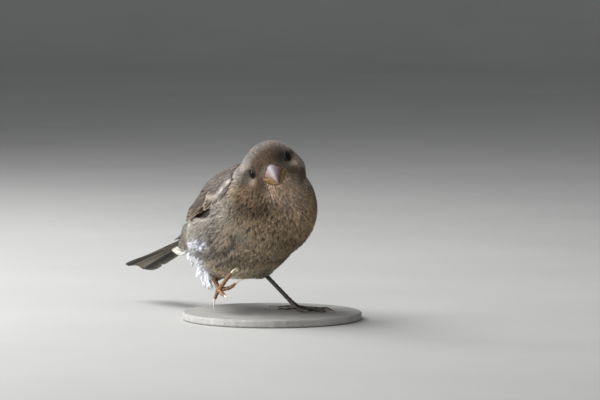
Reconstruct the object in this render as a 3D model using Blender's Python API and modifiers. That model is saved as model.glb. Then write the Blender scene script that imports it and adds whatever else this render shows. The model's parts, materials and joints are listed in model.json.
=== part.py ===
"""House sparrow, life size, standing on its left leg with the right foot
drawn up and the head turned and tipped to the right, on a plain round base.

Frame: metres, +Z up.  The trunk heads along -Y, the bird's left is +X.  The
origin is the centre of the bounding box at the underside of the base.
The body is one smooth feathered form, given by a distance function made of
rounded cones and ellipsoids, and parted with thin cuts.
"""
import bpy
import bmesh
import numpy as np
from math import sin, cos, radians, degrees, pi, sqrt
from mathutils import Matrix, Vector

# ------------------------------------------------------------------ sizes, mm
MM = 0.001
GAP = 0.3                    # clearance between touching pieces

BASE_R = 36.0                # plain round base
BASE_H = 3.0
BASE_AT = (6.0, -6.0)
BASE_BEVEL = 0.7

HEAD_AT = (-5.7, -22.7, 59.8)        # centre of the skull between the eyes
HEAD_YAW, HEAD_PITCH, HEAD_ROLL = -30.0, 5.0, 26.7

EYE_R = 3.0
EYE_AT = (5.9, 1.6, 0.75)           # head frame: left, forward, up
EYE_LOOK = (0.896, 0.432, 0.10)       # where the eye faces, head frame
LID_OUT = 2.1                        # the lids stand this far off its centre
ORBIT_R = 3.8                        # shallow pit of the face round the eye

BILL_BASE = 6.6                      # head frame, where the bill leaves the face
BILL_TIP = (0.0, 18.7, -3.9)
BILL_W = 3.55                        # half width of the upper half at the base
BILL_W_LOW = 4.1                     # and of the lower half
CULMEN_H = 4.7                       # height of the upper half at the base
GONYS_H = 5.0                        # depth of the lower half at the base
FLANGE = 1.15                        # soft swelling at the corners of the gape

TARSUS_R = 1.0
ANKLE_L = (6.5, 1.6, 15.4)
TOES_L = (14.4, -10.6, 1.9)
ANKLE_R = (-6.8, 17.2, 12.8)
TOES_R = (-15.1, 0.5, 9.3)
CLAW_R = 0.55

TAIL_ROOT_Y = 46.0
TAIL_TIP_Y = 86.5
TAIL_SLOPE = 19.5                    # degrees below the horizontal
TAIL_ROLL = 15.0

WING_FRONT, WING_BACK = -2.0, 40.0   # along the trunk
WING_BED = 1.9                       # depth of the bed the wing lies in


# ---------------------------------------------------------------- small tools
def vec(*a):
    return np.array(a, float)


def head_axes():
    a, p, r = radians(HEAD_YAW), radians(HEAD_PITCH), radians(HEAD_ROLL)
    f = vec(sin(a)*cos(p), -cos(a)*cos(p), -sin(p))
    l0 = vec(cos(a), sin(a), 0)
    u0 = np.cross(f, l0)
    return np.stack([l0*cos(r) + u0*sin(r), f, u0*cos(r) - l0*sin(r)])


HEAD = head_axes()


def to_head(p):
    return (p - vec(*HEAD_AT)) @ HEAD.T


def from_head(q):
    return np.asarray(q, float) @ HEAD + vec(*HEAD_AT)


def smoothstep(x, a, b):
    t = np.clip((x - a)/(b - a), 0, 1)
    return t*t*(3 - 2*t)


# ------------------------------------------------- the form of the body, in mm
def ell(p, c, r):
    q = p - vec(*c)
    r = vec(*r)
    k0 = np.linalg.norm(q/r, axis=-1)
    k1 = np.linalg.norm(q/(r*r), axis=-1)
    return k0*(k0 - 1.0)/np.maximum(k1, 1e-9)


def cone(p, a, b, ra, rb):
    """Distance to a cone with round ends of radius ra at a and rb at b."""
    a, b = vec(*a), vec(*b)
    ba = b - a
    l2 = ba @ ba
    rr = ra - rb
    a2 = l2 - rr*rr
    pa = p - a
    y = pa @ ba
    z = y - l2
    x2 = ((pa*l2 - ba*y[..., None])**2).sum(-1)
    y2, z2 = y*y*l2, z*z*l2
    k = np.sign(rr)*rr*rr*x2
    d = (np.sqrt(np.maximum(x2*a2/l2, 0)) + y*rr)/l2 - ra
    d = np.where(np.sign(y)*a2*y2 < k, np.sqrt(x2 + y2)/l2 - ra, d)
    return np.where(np.sign(z)*a2*z2 > k, np.sqrt(x2 + z2)/l2 - rb, d)


def blend(a, b, k):
    h = np.clip(0.5 + 0.5*(b - a)/k, 0, 1)
    return b*(1 - h) + a*h - k*h*(1 - h)


def head_form(p):
    q = to_head(p)
    d = ell(q, (0, -3.9, 0.8), (10.1, 11.0, 8.6))              # braincase
    for s in (1, -1):                                          # cheeks
        d = blend(d, ell(q, (s*5.1, -3.3, -4.6), (7.2, 7.6, 6.9)), 3.0)
    d = blend(d, ell(q, (0, 4.0, -1.4), (5.3, 5.8, 5.3)), 3.0)  # bill root
    d = blend(d, ell(q, (0, 0.5, -6.0), (6.5, 8.0, 5.5)), 3.0)  # chin
    return d


def trunk_form(p):
    d = cone(p, (0.2, -10.5, 41.0), (-0.5, 6, 33.2), 19.1, 19.4)   # breast, belly
    d = blend(d, ell(p, (-1, 2, 42.5), (14.6, 18, 14.7)), 6)       # mantle
    d = blend(d, cone(p, (-0.5, 8, 33), (0, 27, 28.0), 18.4, 12.0), 8)
    for s in (1, -1):                                               # flanks
        d = blend(d, ell(p, (s*9.5, 6, 29.5), (9.5, 17, 11.5)), 5)
    d = blend(d, cone(p, (0, 27, 28.0), (0, 46, 23.6), 11.0, 4.4), 7)  # rump
    return d


def neck_form(p):
    return cone(p, (-0.6, -15.5, 51.5), (1.0, -11.5, 43.0), 10.8, 16.2)


THIGH_R = ((-12.5, 9, 27), (-7.2, 16.8, 13.4), 9.4, 2.8)
THIGH_L = ((6, 3, 27), (6.6, 2.0, 16.2), 9.0, 2.8)


def body_full(p):
    d = blend(trunk_form(p), neck_form(p), 9)
    d = blend(d, head_form(p), 6)
    d = blend(d, np.minimum(cone(p, *THIGH_R), cone(p, *THIGH_L)), 5)
    q = to_head(p)
    for s in (1, -1):                                          # orbits
        look = vec(s*EYE_LOOK[0], EYE_LOOK[1], EYE_LOOK[2])
        c = vec(s*EYE_AT[0], EYE_AT[1], EYE_AT[2]) + look*(LID_OUT + ORBIT_R)
        d = -blend(-d, np.linalg.norm(q - c, axis=-1) - ORBIT_R, 1.2)
    return d


def axis_z(y):
    """Height of the trunk's long axis."""
    return np.interp(y, [-10.5, 6, 27, 46], [41.0, 33.2, 28.0, 23.6])


def wing_edges(u):
    """Upper and lower edge of the folded wing, as angles from the back."""
    return 13 + 7*(1 - u)**2, 80 - 6*u - 32*u**3


def wing_mask(p):
    """1 where the folded wing lies, 0 away from it."""
    x, y, z = np.abs(p[..., 0]), p[..., 1], p[..., 2]
    t = np.degrees(np.arctan2(x, z - axis_z(y)))
    u = np.clip((y - WING_FRONT)/(WING_BACK - WING_FRONT), 0, 1)
    up, lo = wing_edges(u)
    m = smoothstep(y, WING_FRONT - 1.5, WING_FRONT + 1.5)
    m = m*smoothstep(-y, -WING_BACK - 2, -WING_BACK + 1.5)
    return m*smoothstep(t, up - 5, up + 4)*smoothstep(-t, -lo - 5, -lo + 4)


def body(p):
    """The feathered surface, with a shallow bed for each folded wing."""
    return body_full(p) + WING_BED*wing_mask(p)


def gradient(f, p, e=0.15):
    g = np.zeros_like(p)
    for k in range(3):
        o = np.zeros(3)
        o[k] = e
        g[..., k] = f(p + o) - f(p - o)
    return g/(2*e)


def to_surface(f, p, level=0.0, rounds=10):
    for _ in range(rounds):
        g = gradient(f, p)
        n2 = np.maximum((g*g).sum(-1, keepdims=True), 0.2)
        p = p - g*((f(p) - level)[..., None]/n2)*0.9
    return p


def ray_to(f, start, way, level, far=42.0, rounds=60):
    """Come in from outside along -way to where f equals level."""
    r = np.full(len(start), far)
    for _ in range(rounds):
        r = r - 0.8*(f(start + way*r[:, None]) - level)
    return start + way*r[:, None]


# -------------------------------------------------------------- Blender tools
for old in list(bpy.data.objects):
    bpy.data.objects.remove(old, do_unlink=True)

PARTS = bpy.data.collections.new("house_sparrow")
CUTTERS = bpy.data.collections.new("cutters")
for coll in (PARTS, CUTTERS):
    bpy.context.scene.collection.children.link(coll)


def material(name, colour, rough=0.8, metallic=0.0):
    m = bpy.data.materials.new(name)
    m.use_nodes = True
    b = m.node_tree.nodes["Principled BSDF"]
    b.inputs["Base Color"].default_value = (*colour, 1)
    b.inputs["Roughness"].default_value = rough
    b.inputs["Metallic"].default_value = metallic
    return m


MATS = {
    "head": material("feather_head", (0.27, 0.22, 0.17)),
    "neck": material("feather_neck", (0.36, 0.31, 0.25)),
    "trunk": material("feather_trunk", (0.42, 0.37, 0.31)),
    "thigh": material("feather_thigh", (0.50, 0.46, 0.40)),
    "wing": material("feather_wing", (0.22, 0.16, 0.11)),
    "flight": material("feather_flight", (0.16, 0.12, 0.09)),
    "tail": material("feather_tail", (0.19, 0.16, 0.13)),
    "bill_upper": material("bill_horn", (0.72, 0.60, 0.55), 0.45),
    "bill_lower": material("bill_yellow", (0.74, 0.52, 0.24), 0.45),
    "eye": material("eye_dark", (0.012, 0.008, 0.006), 0.06),
    "leg": material("leg_scute", (0.34, 0.19, 0.14), 0.55),
    "claw": material("claw_horn", (0.20, 0.15, 0.12), 0.4),
    "stand": material("stand_grey", (0.55, 0.54, 0.52), 0.7),
}


def move_to(o, coll):
    for c in list(o.users_collection):
        c.objects.unlink(o)
    coll.objects.link(o)


def baked(o):
    """Replace an object by a plain mesh of what its modifiers make."""
    dg = bpy.context.evaluated_depsgraph_get()
    dg.update()
    me = bpy.data.meshes.new_from_object(o.evaluated_get(dg))
    new = bpy.data.objects.new(o.name + "_m", me)
    new.matrix_world = o.matrix_world.copy()
    bpy.context.scene.collection.objects.link(new)
    bpy.data.objects.remove(o, do_unlink=True)
    bm = bmesh.new()
    bm.from_mesh(me)
    bm.transform(new.matrix_world)
    bmesh.ops.remove_doubles(bm, verts=bm.verts, dist=0.00001)
    bm.to_mesh(me)
    bm.free()
    new.matrix_world = Matrix.Identity(4)
    return new


def finish(o, name, mat):
    """Give a finished piece its name, material and collection."""
    o.name = name
    o.data.name = name
    o.data.materials.clear()
    o.data.materials.append(MATS[mat])
    bm = bmesh.new()
    bm.from_mesh(o.data)
    bmesh.ops.remove_doubles(bm, verts=bm.verts, dist=0.00001)
    bmesh.ops.dissolve_degenerate(bm, edges=bm.edges, dist=0.00001)
    bmesh.ops.triangulate(bm, faces=bm.faces)
    bmesh.ops.recalc_face_normals(bm, faces=bm.faces)
    bm.to_mesh(o.data)
    bm.free()
    o.data.shade_smooth()
    o.data.set_sharp_from_angle(angle=radians(50))
    move_to(o, PARTS)
    return o


def coords(o):
    a = np.zeros(len(o.data.vertices)*3)
    o.data.vertices.foreach_get("co", a)
    return a.reshape(-1, 3)/MM


def set_coords(o, p):
    o.data.vertices.foreach_set("co", (p*MM).ravel())
    o.data.update()


def sphere(at, r, segs=16, rings=10, scale=(1, 1, 1), rot=None):
    bpy.ops.mesh.primitive_uv_sphere_add(segments=segs, ring_count=rings, radius=r*MM)
    o = bpy.context.object
    m = Matrix.Diagonal((*scale, 1))
    if rot is not None:
        m = rot.to_matrix().to_4x4() @ m
    m.translation = Vector(at)*MM
    o.data.transform(m)
    return o


def joined(objs):
    for o in bpy.context.selected_objects:
        o.select_set(False)
    for o in objs:
        o.select_set(True)
    bpy.context.view_layer.objects.active = objs[0]
    bpy.ops.object.join()
    return objs[0]


def remeshed(o, voxel, smooth=0):
    m = o.modifiers.new("voxels", "REMESH")
    m.mode = "VOXEL"
    m.voxel_size = voxel*MM
    if smooth:
        s = o.modifiers.new("soften", "SMOOTH")
        s.iterations = smooth
        s.factor = 0.5
    return baked(o)


def cut(o, cutter, how="DIFFERENCE"):
    m = o.modifiers.new("cut", "BOOLEAN")
    m.operation = how
    m.solver = "EXACT"
    m.object = cutter
    return baked(o)


def as_cutter(o, name):
    o.name = name
    o.hide_render = True
    o.display_type = "WIRE"
    move_to(o, CUTTERS)
    return o


def halfspace(o, at, normal):
    """Keep the side of the plane that the normal points to, and cap it."""
    bm = bmesh.new()
    bm.from_mesh(o.data)
    geom = bm.verts[:] + bm.edges[:] + bm.faces[:]
    res = bmesh.ops.bisect_plane(bm, geom=geom, dist=1e-7, plane_co=Vector(at)*MM,
                                 plane_no=Vector(normal), clear_inner=True)
    edges = [e for e in res["geom_cut"] if isinstance(e, bmesh.types.BMEdge)]
    bmesh.ops.holes_fill(bm, edges=edges)
    bmesh.ops.recalc_face_normals(bm, faces=bm.faces)
    bm.to_mesh(o.data)
    bm.free()
    return o


def copy_of(o):
    c = o.copy()
    c.data = o.data.copy()
    bpy.context.scene.collection.objects.link(c)
    return c


def tube(points, radii, sides=10):
    """A tapered tube with filled caps along a smooth curve, in mm."""
    cu = bpy.data.curves.new("tube", "CURVE")
    cu.dimensions = "3D"
    cu.bevel_depth = MM
    cu.bevel_resolution = (sides - 4)//2
    cu.use_fill_caps = True
    cu.resolution_u = 1
    cu.render_resolution_u = 0
    sp = cu.splines.new("POLY")
    sp.points.add(len(points) - 1)
    for q, p, r in zip(sp.points, points, radii):
        q.co = (p[0]*MM, p[1]*MM, p[2]*MM, 1)
        q.radius = r
    o = bpy.data.objects.new("tube", cu)
    bpy.context.scene.collection.objects.link(o)
    o = baked(o)
    bm = bmesh.new()
    bm.from_mesh(o.data)
    bmesh.ops.recalc_face_normals(bm, faces=bm.faces)
    bm.to_mesh(o.data)
    bm.free()
    return o


def catmull(ctrl, n):
    """n points at even steps along a smooth curve through the control points."""
    c = np.array(ctrl, float)
    c = np.vstack([2*c[0] - c[1], c, 2*c[-1] - c[-2]])
    out = []
    for i in range(1, len(c) - 2):
        for t in np.linspace(0, 1, 24, endpoint=False):
            out.append(0.5*((2*c[i]) + (c[i+1] - c[i-1])*t
                            + (2*c[i-1] - 5*c[i] + 4*c[i+1] - c[i+2])*t*t
                            + (3*c[i] - c[i-1] - 3*c[i+1] + c[i+2])*t**3))
    out.append(c[-2])
    out = np.array(out)
    s = np.r_[0, np.cumsum(np.linalg.norm(np.diff(out, axis=0), axis=1))]
    at = np.linspace(0, s[-1], n)
    return np.stack([np.interp(at, s, out[:, k]) for k in range(3)], -1)


# --------------------------------------------------------------- body as one
def body_mesh(voxel):
    """The whole feathered body: rounded forms, fused and drawn to the form."""
    balls = []

    def run(a, b, ra, rb, n):
        for t in np.linspace(0, 1, n):
            p = vec(*a)*(1 - t) + vec(*b)*t
            balls.append(sphere(p, ra + (rb - ra)*t, 20, 12))

    run((0.2, -10.5, 41.0), (-0.5, 6, 33.2), 19.1, 19.4, 3)
    run((-0.5, 8, 33), (0, 27, 28.0), 18.4, 12.0, 4)
    run((0, 27, 28.0), (0, 46, 23.6), 11.0, 4.4, 7)
    run((-0.6, -15.5, 51.5), (1.0, -11.5, 43.0), 10.8, 16.2, 2)
    run(*THIGH_R, 6)
    run(*THIGH_L, 4)
    balls.append(sphere((-1, 2, 42.5), 1, 20, 12, (14.6, 18, 14.7)))
    for s in (1, -1):
        balls.append(sphere((s*9.5, 6, 29.5), 1, 20, 12, (9.5, 17, 11.5)))
    rot = Matrix(HEAD.T.tolist()).to_quaternion()
    for c, r in (((0, -3.9, 0.8), (10.1, 11.0, 8.6)), ((0, 4.0, -1.4), (5.3, 5.8, 5.3)),
                 ((0, 0.5, -6.0), (6.5, 8.0, 5.5)), ((5.1, -3.3, -4.6), (7.2, 7.6, 6.9)),
                 ((-5.1, -3.3, -4.6), (7.2, 7.6, 6.9))):
        balls.append(sphere(from_head(c), 1, 20, 12, r, rot))
    o = remeshed(joined(balls), voxel)
    p = to_surface(body, coords(o))
    set_coords(o, p)
    # even out the net, then draw it to the form again
    s = o.modifiers.new("soften", "SMOOTH")
    s.iterations = 3
    s.factor = 0.5
    o = baked(o)
    set_coords(o, to_surface(body, coords(o)))
    return o


# the thin cuts: head | neck | trunk, each along part of an ellipsoid
RIGHT = vec(0.829, -0.559, 0)
HEAD_CUT = ((0, -3.0, -0.5), (15.0, 16.0, 11.6))
NECK_CUT = ((0, -4.0, -2.5), (20.0, 20.5, 18.0))
HEAD_ROT = Matrix(HEAD.T.tolist()).to_quaternion()


def collar(shape, grow, name):
    c, r = shape
    return as_cutter(sphere(from_head(c), 1, 18, 12, [k + grow for k in r], HEAD_ROT), name)


fine = body_mesh(2.0)
coarse = body_mesh(3.5)
in_head = collar(HEAD_CUT, -GAP, "cut_head")
off_head = collar(HEAD_CUT, 0.0, "cut_head_room")
in_neck = collar(NECK_CUT, -GAP, "cut_neck")
off_neck = collar(NECK_CUT, 0.0, "cut_neck_room")
head = cut(fine, in_head, "INTERSECT")
neck = cut(cut(copy_of(coarse), in_neck, "INTERSECT"), off_head)
trunk = cut(cut(copy_of(coarse), off_neck), off_head)

# tail plane, square to the tail's slope
TAIL_WAY = vec(0, cos(radians(TAIL_SLOPE)), -sin(radians(TAIL_SLOPE)))
TAIL_AT = vec(0, TAIL_ROOT_Y, 25.2)
trunk = halfspace(trunk, TAIL_AT - TAIL_WAY*GAP/2, -TAIL_WAY)


# ------------------------------------------------------------------- thighs
def thigh_cutter(cone_of, grow, name):
    a, b = vec(*cone_of[0]), vec(*cone_of[1])
    way = (b - a)/np.linalg.norm(b - a)
    mid = a*0.42 + b*0.58
    rot = Vector((0, 0, 1)).rotation_difference(Vector(way))
    o = sphere(mid, 1, 14, 10, (7.2 + grow, 7.2 + grow, 11.0 + grow), rot)
    return as_cutter(o, name)


thighs = {}
for side, form in (("left", THIGH_L), ("right", THIGH_R)):
    inner = thigh_cutter(form, 0.0, "cut_thigh_" + side)
    outer = thigh_cutter(form, GAP, "cut_thigh_room_" + side)
    thighs[side] = cut(copy_of(coarse), inner, "INTERSECT")
    trunk = cut(trunk, outer)
bpy.data.objects.remove(coarse, do_unlink=True)


# --------------------------------------------------------------------- eyes
def eye_centre(s):
    return from_head((s*EYE_AT[0], EYE_AT[1], EYE_AT[2]))


for s, side in ((1, "left"), (-1, "right")):
    room = as_cutter(sphere(eye_centre(s), EYE_R + GAP, 14, 9), "cut_eye_" + side)
    head = cut(head, room)
    rot = Vector((0, 0, 1)).rotation_difference(
        Vector(vec(s*EYE_LOOK[0], EYE_LOOK[1], EYE_LOOK[2]) @ HEAD))
    finish(sphere(eye_centre(s), EYE_R, 12, 8, rot=rot), "eye_" + side, "eye")


# --------------------------------------------------------------------- bill
def bill(part, grow=0.0):
    """Half of a stout conical bill, or both halves as one form.  It is drawn
    from a sphere whose pole runs forward: the ridge curves down to the tip and
    a half's cutting edge is flat."""
    o = sphere((0, 0, 0), 1, 14, 11)
    p = coords(o)
    p = p/np.linalg.norm(p, axis=1, keepdims=True)
    t = (p[:, 2] + 1)/2                                  # 0 base, 1 tip
    ang = np.arctan2(p[:, 1], p[:, 0])
    drop = {"upper": 0.15, "lower": -0.15, "both": 0.0}[part]
    short = 1.1 if part == "lower" else 0.0
    edge0 = vec(0, BILL_BASE, -2.2)
    tip = vec(*BILL_TIP) + vec(0, -short, drop)
    taper = np.clip(1 - t, 0, 1)**0.72*smoothstep(t, -0.02, 0.10)
    mid = edge0 + (tip - edge0)*t[:, None]
    mid[:, 2] += 0.75*np.sin(pi*t)                       # the gape line bows up
    full = np.clip(1 - t, 0, 1)**0.56*smoothstep(t, -0.02, 0.10)
    wide = BILL_W*taper
    if part != "upper":
        wide = BILL_W_LOW*taper + FLANGE*np.exp(-((t - 0.16)/0.12)**2)*smoothstep(t, -0.02, 0.10)
    top = CULMEN_H*taper + grow if part != "lower" else 0.05*taper
    under = GONYS_H*full + grow if part != "upper" else 0.05*taper
    step = {"upper": GAP/2, "lower": -GAP/2, "both": 0.0}[part]
    s = np.sin(ang)
    q = np.stack([(wide + grow)*np.cos(ang), mid[:, 1],
                  mid[:, 2] + step + np.where(s > 0, s*top, s*under)], -1)
    q[:, 1] += np.where(t < 0.5, -grow, grow)
    set_coords(o, from_head(q))
    bm = bmesh.new()
    bm.from_mesh(o.data)
    bmesh.ops.recalc_face_normals(bm, faces=bm.faces)
    bm.to_mesh(o.data)
    bm.free()
    return o


head = cut(head, as_cutter(bill("both", GAP + 0.15), "cut_bill"))
for which in ("upper", "lower"):
    finish(bill(which), "bill_" + which, "bill_" + which)

finish(head, "head", "head")
finish(neck, "neck", "neck")
finish(trunk, "trunk", "trunk")


# -------------------------------------------------------------------- wings
def wing_patch(side, u0, u1, cols, rows, name, mat):
    """A folded wing lies in its bed: its inner face a gap off the bed, its
    outer face flush with the plumage round it."""
    bpy.ops.mesh.primitive_grid_add(x_subdivisions=cols, y_subdivisions=rows, size=2)
    o = bpy.context.object
    g = coords(o)*MM
    u = u0 + (u1 - u0)*(g[:, 0] + 1)/2
    v = (g[:, 1] + 1)/2
    up, lo = wing_edges(u)
    t = np.radians(up + (lo - up)*v)
    round_front = 5.0*(2*v - 1)**2*np.clip(1 - u*4, 0, 1)
    round_back = 9.0*np.abs(v - 0.30)**1.3*np.clip(u*2 - 1, 0, 1)
    y = WING_FRONT + (WING_BACK - WING_FRONT)*u + round_front - round_back
    start = np.stack([0*y, y, axis_z(y)], -1)
    way = np.stack([side*np.sin(t), 0*t, np.cos(t)], -1)
    lowf = ray_to(body, start, way, GAP + 0.3)
    high = ray_to(body_full, start, way, 0.30)
    thick = np.maximum(np.linalg.norm(high - start, axis=1)
                       - np.linalg.norm(lowf - start, axis=1), 0.75)
    set_coords(o, lowf)
    top = thick.max()
    grp = o.vertex_groups.new(name="thick")
    for i, th in enumerate(thick):
        grp.add([i], float(th/top), "REPLACE")
    # the grid's normals face out of the body
    bm = bmesh.new()
    bm.from_mesh(o.data)
    bm.faces.ensure_lookup_table()
    f = bm.faces[len(bm.faces)//2]
    f.normal_update()
    c = np.array(f.calc_center_median())/MM
    if np.dot(np.array(f.normal), c - vec(0, c[1], axis_z(c[1]))) < 0:
        bmesh.ops.reverse_faces(bm, faces=bm.faces)
    bm.to_mesh(o.data)
    bm.free()
    m = o.modifiers.new("shell", "SOLIDIFY")
    m.thickness = top*MM
    m.offset = 1.0
    m.vertex_group = "thick"
    m.use_rim = True
    m.use_even_offset = False
    return finish(baked(o), name, mat)


for side, tag in ((1, "left"), (-1, "right")):
    wing_patch(side, 0.0, 0.545, 8, 7, "wing_" + tag, "wing")
    wing_patch(side, 0.555, 1.0, 8, 6, "flight_feathers_" + tag, "flight")


# --------------------------------------------------------------------- tail
def tail_solid():
    """The closed tail: twelve feathers seen as one cambered, notched blade."""
    bpy.ops.mesh.primitive_grid_add(x_subdivisions=8, y_subdivisions=8, size=2)
    o = bpy.context.object
    g = coords(o)*MM
    u, v = (g[:, 0] + 1)/2, g[:, 1]
    length = (TAIL_TIP_Y - TAIL_ROOT_Y)/cos(radians(TAIL_SLOPE))
    half = 4.0 + 2.6*u
    notch = 1.6*(1 - np.abs(v))**1.2 + 1.4*np.clip(np.abs(v) - 0.75, 0, 1)
    along = GAP/2 + u*(length - notch*smoothstep(u, 0.6, 1.0))
    camber = -0.9*v*v*(1 - 0.4*u)
    roll = radians(-TAIL_ROLL)*smoothstep(u, 0.0, 0.9)
    x = v*half*np.cos(roll) - camber*np.sin(roll)
    z = v*half*np.sin(roll) + camber*np.cos(roll)
    upw = vec(0, sin(radians(TAIL_SLOPE)), cos(radians(TAIL_SLOPE)))
    p = TAIL_AT + along[:, None]*TAIL_WAY + np.outer(x, (1, 0, 0)) + np.outer(z + 0.2, upw)
    set_coords(o, p)
    grp = o.vertex_groups.new(name="thick")
    for i in range(len(u)):
        grp.add([i], float(1 - 0.72*u[i]), "REPLACE")
    m = o.modifiers.new("blade", "SOLIDIFY")
    m.thickness = 3.2*MM
    m.offset = 0.0
    m.vertex_group = "thick"
    m.use_rim = True
    return finish(halfspace(baked(o), TAIL_AT + TAIL_WAY*GAP/2, TAIL_WAY), "tail", "tail")


tail_solid()


# --------------------------------------------------------------- legs and feet
def leg(side, ankle, toes):
    a, b = vec(*ankle), vec(*toes)
    way = (b - a)/np.linalg.norm(b - a)
    across = np.cross(way, vec(0, 0, 1))
    across = across/np.linalg.norm(across)
    third = np.cross(way, across)
    s = 0.0
    while True:                       # leave the plumage by the gap
        c = a + way*s
        rim = [c + TARSUS_R*1.1*(across*cos(k) + third*sin(k)) for k in np.linspace(0, 2*pi, 12)]
        if body(np.array(rim)).min() > GAP:
            break
        s += 0.1
    n = 9
    t = np.linspace(0, 1, n)
    stop = np.linalg.norm(b - a) - 2.0
    pts = [a + way*(s + (stop - s)*k) for k in t]
    rad = TARSUS_R*(1.06 - 0.16*np.sin(pi*t)**0.7)
    return finish(tube(pts, rad, 8), "tarsus_" + side, "leg")


def toe_points(root, ctrl):
    return [vec(*root)] + [vec(*root) + c for c in ctrl]


def foot(side, toes, root, tarsus_way):
    """Toes and their common pad, fused; each toe ends in its own claw."""
    parts = []
    for ctrl, r0, r1 in toes:
        n = 15
        p = catmull(toe_points(root, ctrl), n)
        t = np.linspace(0, 1, n)
        pads = 1 + 0.10*np.cos(t*2*pi*3)            # soft pads under the joints
        rad = (r0 + (r1 - r0)*t)*pads
        parts.append(tube(p, rad, 8))
        parts.append(sphere(p[-1], rad[-1]*1.02, 10, 8))
    parts.append(sphere(root, 1.25, 12, 10))
    c = vec(*root) - vec(*tarsus_way)*0.9
    parts.append(sphere(c, 1.05, 12, 10))
    o = remeshed(joined(parts), 0.36, 2)
    dec = o.modifiers.new("fewer", "DECIMATE")
    dec.ratio = min(1.0, 480/(2*len(o.data.polygons)))
    o = baked(o)
    return o


def trim_foot(o, root, way):
    """Square the foot's top off a gap below the tarsus."""
    at = vec(*root) - vec(*way)*(2.0 - GAP)
    return at


def claw(side, which, start, ctrl, r0):
    n = 6
    p = catmull([vec(*start)] + [vec(*start) + c for c in ctrl], n)
    t = np.linspace(0, 1, n)
    return finish(tube(p, r0*(1 - 0.80*t**1.3), 6), "claw_%s_%s" % (side, which), "claw")


def flat(deg, fwd, up=0.0):
    """A point of the standing foot: angle from straight ahead (-Y) to the
    bird's left, distance from the toe joint, and height."""
    return vec(sin(radians(deg))*fwd, -cos(radians(deg))*fwd, up)


def way_of(a, b):
    d = vec(*b) - vec(*a)
    return d/np.linalg.norm(d)


# Standing foot, on the base: angle of each toe, its length, its claw
FLAT_TOES = {"inner": (-9.0, 9.5, 4.2, 0.72), "middle": (26.0, 13.6, 4.6, 0.80),
             "outer": (61.0, 10.2, 4.2, 0.70), "hind": (206.0, 8.2, 6.2, 0.82)}


def toe_z(r):
    return r + GAP - TOES_L[2]


standing = []
claws_l = []
for which, (deg, length, claw_len, r) in FLAT_TOES.items():
    hgt = toe_z(r*1.12)
    ctrl = [flat(deg, length*0.30, 0.55*hgt), flat(deg, length*0.62, hgt + 0.25), flat(deg, length, hgt)]
    standing.append((ctrl, r*1.1, r*0.82))
    end = vec(*TOES_L) + ctrl[-1]
    step = r*0.82*1.05 + GAP
    tip = GAP + 0.12 - end[2]
    claws_l.append((which, end + flat(deg, step), [flat(deg, claw_len*0.35, 0.42),
                    flat(deg, claw_len*0.7, 0.05), flat(deg, claw_len - step, tip)], CLAW_R))

# Raised foot: toes drawn up and forward; axes across, up and out
OUT = vec(-0.557, -0.827, 0.078)
UPW = vec(0, 0, 1)


def curl(r, u, b):
    return RIGHT*r + UPW*u + OUT*b


RAISED = {
    "middle": ([curl(1.1, 1.5, 3.4), curl(3.0, 4.1, 6.2), curl(5.0, 6.7, 7.3)],
               [curl(0.9, 0.9, 0.9), curl(1.5, 0.9, 2.2), curl(1.5, 0.2, 3.3)]),
    "outer": ([curl(2.0, 0.3, 2.6), curl(4.6, 1.0, 4.6), curl(6.8, 2.6, 5.4)],
              [curl(1.0, 0.8, 0.7), curl(1.8, 0.9, 1.8), curl(1.9, 0.3, 2.8)]),
    "inner": ([curl(0.6, -0.5, 3.0), curl(1.6, -1.6, 5.8), curl(2.4, -2.2, 8.0)],
              [curl(0.4, -0.2, 1.3), curl(0.6, -0.9, 2.4), curl(0.7, -2.0, 3.0)]),
    "hind": ([curl(-0.6, -1.0, -1.2), curl(-1.1, -2.2, -1.4), curl(-1.6, -3.6, -0.8)],
             [curl(-0.1, -1.3, 0.4), curl(0.0, -2.6, 1.1), curl(0.2, -3.5, 2.2)]),
}
raised = []
claws_r = []
for which, (ctrl, hook) in RAISED.items():
    r = {"middle": 0.92, "outer": 0.84, "inner": 0.82, "hind": 0.90}[which]
    raised.append((ctrl, r*1.1, r*0.82))
    end = vec(*TOES_R) + ctrl[-1]
    w = (ctrl[-1] - ctrl[-2])/np.linalg.norm(ctrl[-1] - ctrl[-2])
    claws_r.append((which, end + w*(r*0.82*1.05 + GAP), hook, CLAW_R))

for side, toes, root, ankle, claws in (("left", standing, TOES_L, ANKLE_L, claws_l),
                                       ("right", raised, TOES_R, ANKLE_R, claws_r)):
    leg(side, ankle, root)
    o = foot(side, toes, root, way_of(ankle, root))
    w = way_of(ankle, root)
    # the joint's upper end is cut square to the tarsus by a small block
    bpy.ops.mesh.primitive_cylinder_add(radius=2.2*MM, depth=2.0*MM, vertices=16)
    c = bpy.context.object
    m = Vector((0, 0, 1)).rotation_difference(Vector(w)).to_matrix().to_4x4()
    m.translation = Vector(vec(*root) - w*(2.0 - GAP + 1.0))*MM
    c.data.transform(m)
    o = cut(o, as_cutter(c, "cut_foot_" + side))
    finish(o, "foot_" + side, "leg")
    for which, start, hook, r in claws:
        claw(side, which, start, hook, r)

for side in thighs:
    finish(thighs[side], "thigh_" + side, "thigh")


# --------------------------------------------------------------------- base
bpy.ops.mesh.primitive_cylinder_add(radius=BASE_R*MM, depth=BASE_H*MM, vertices=44,
                                    location=(BASE_AT[0]*MM, BASE_AT[1]*MM, -BASE_H*MM/2))
o = bpy.context.object
o.data.transform(o.matrix_world)
o.matrix_world = Matrix.Identity(4)
b = o.modifiers.new("edge", "BEVEL")
b.width = BASE_BEVEL*MM
b.segments = 2
b.limit_method = "ANGLE"
finish(baked(o), "stand_base", "stand")

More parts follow.
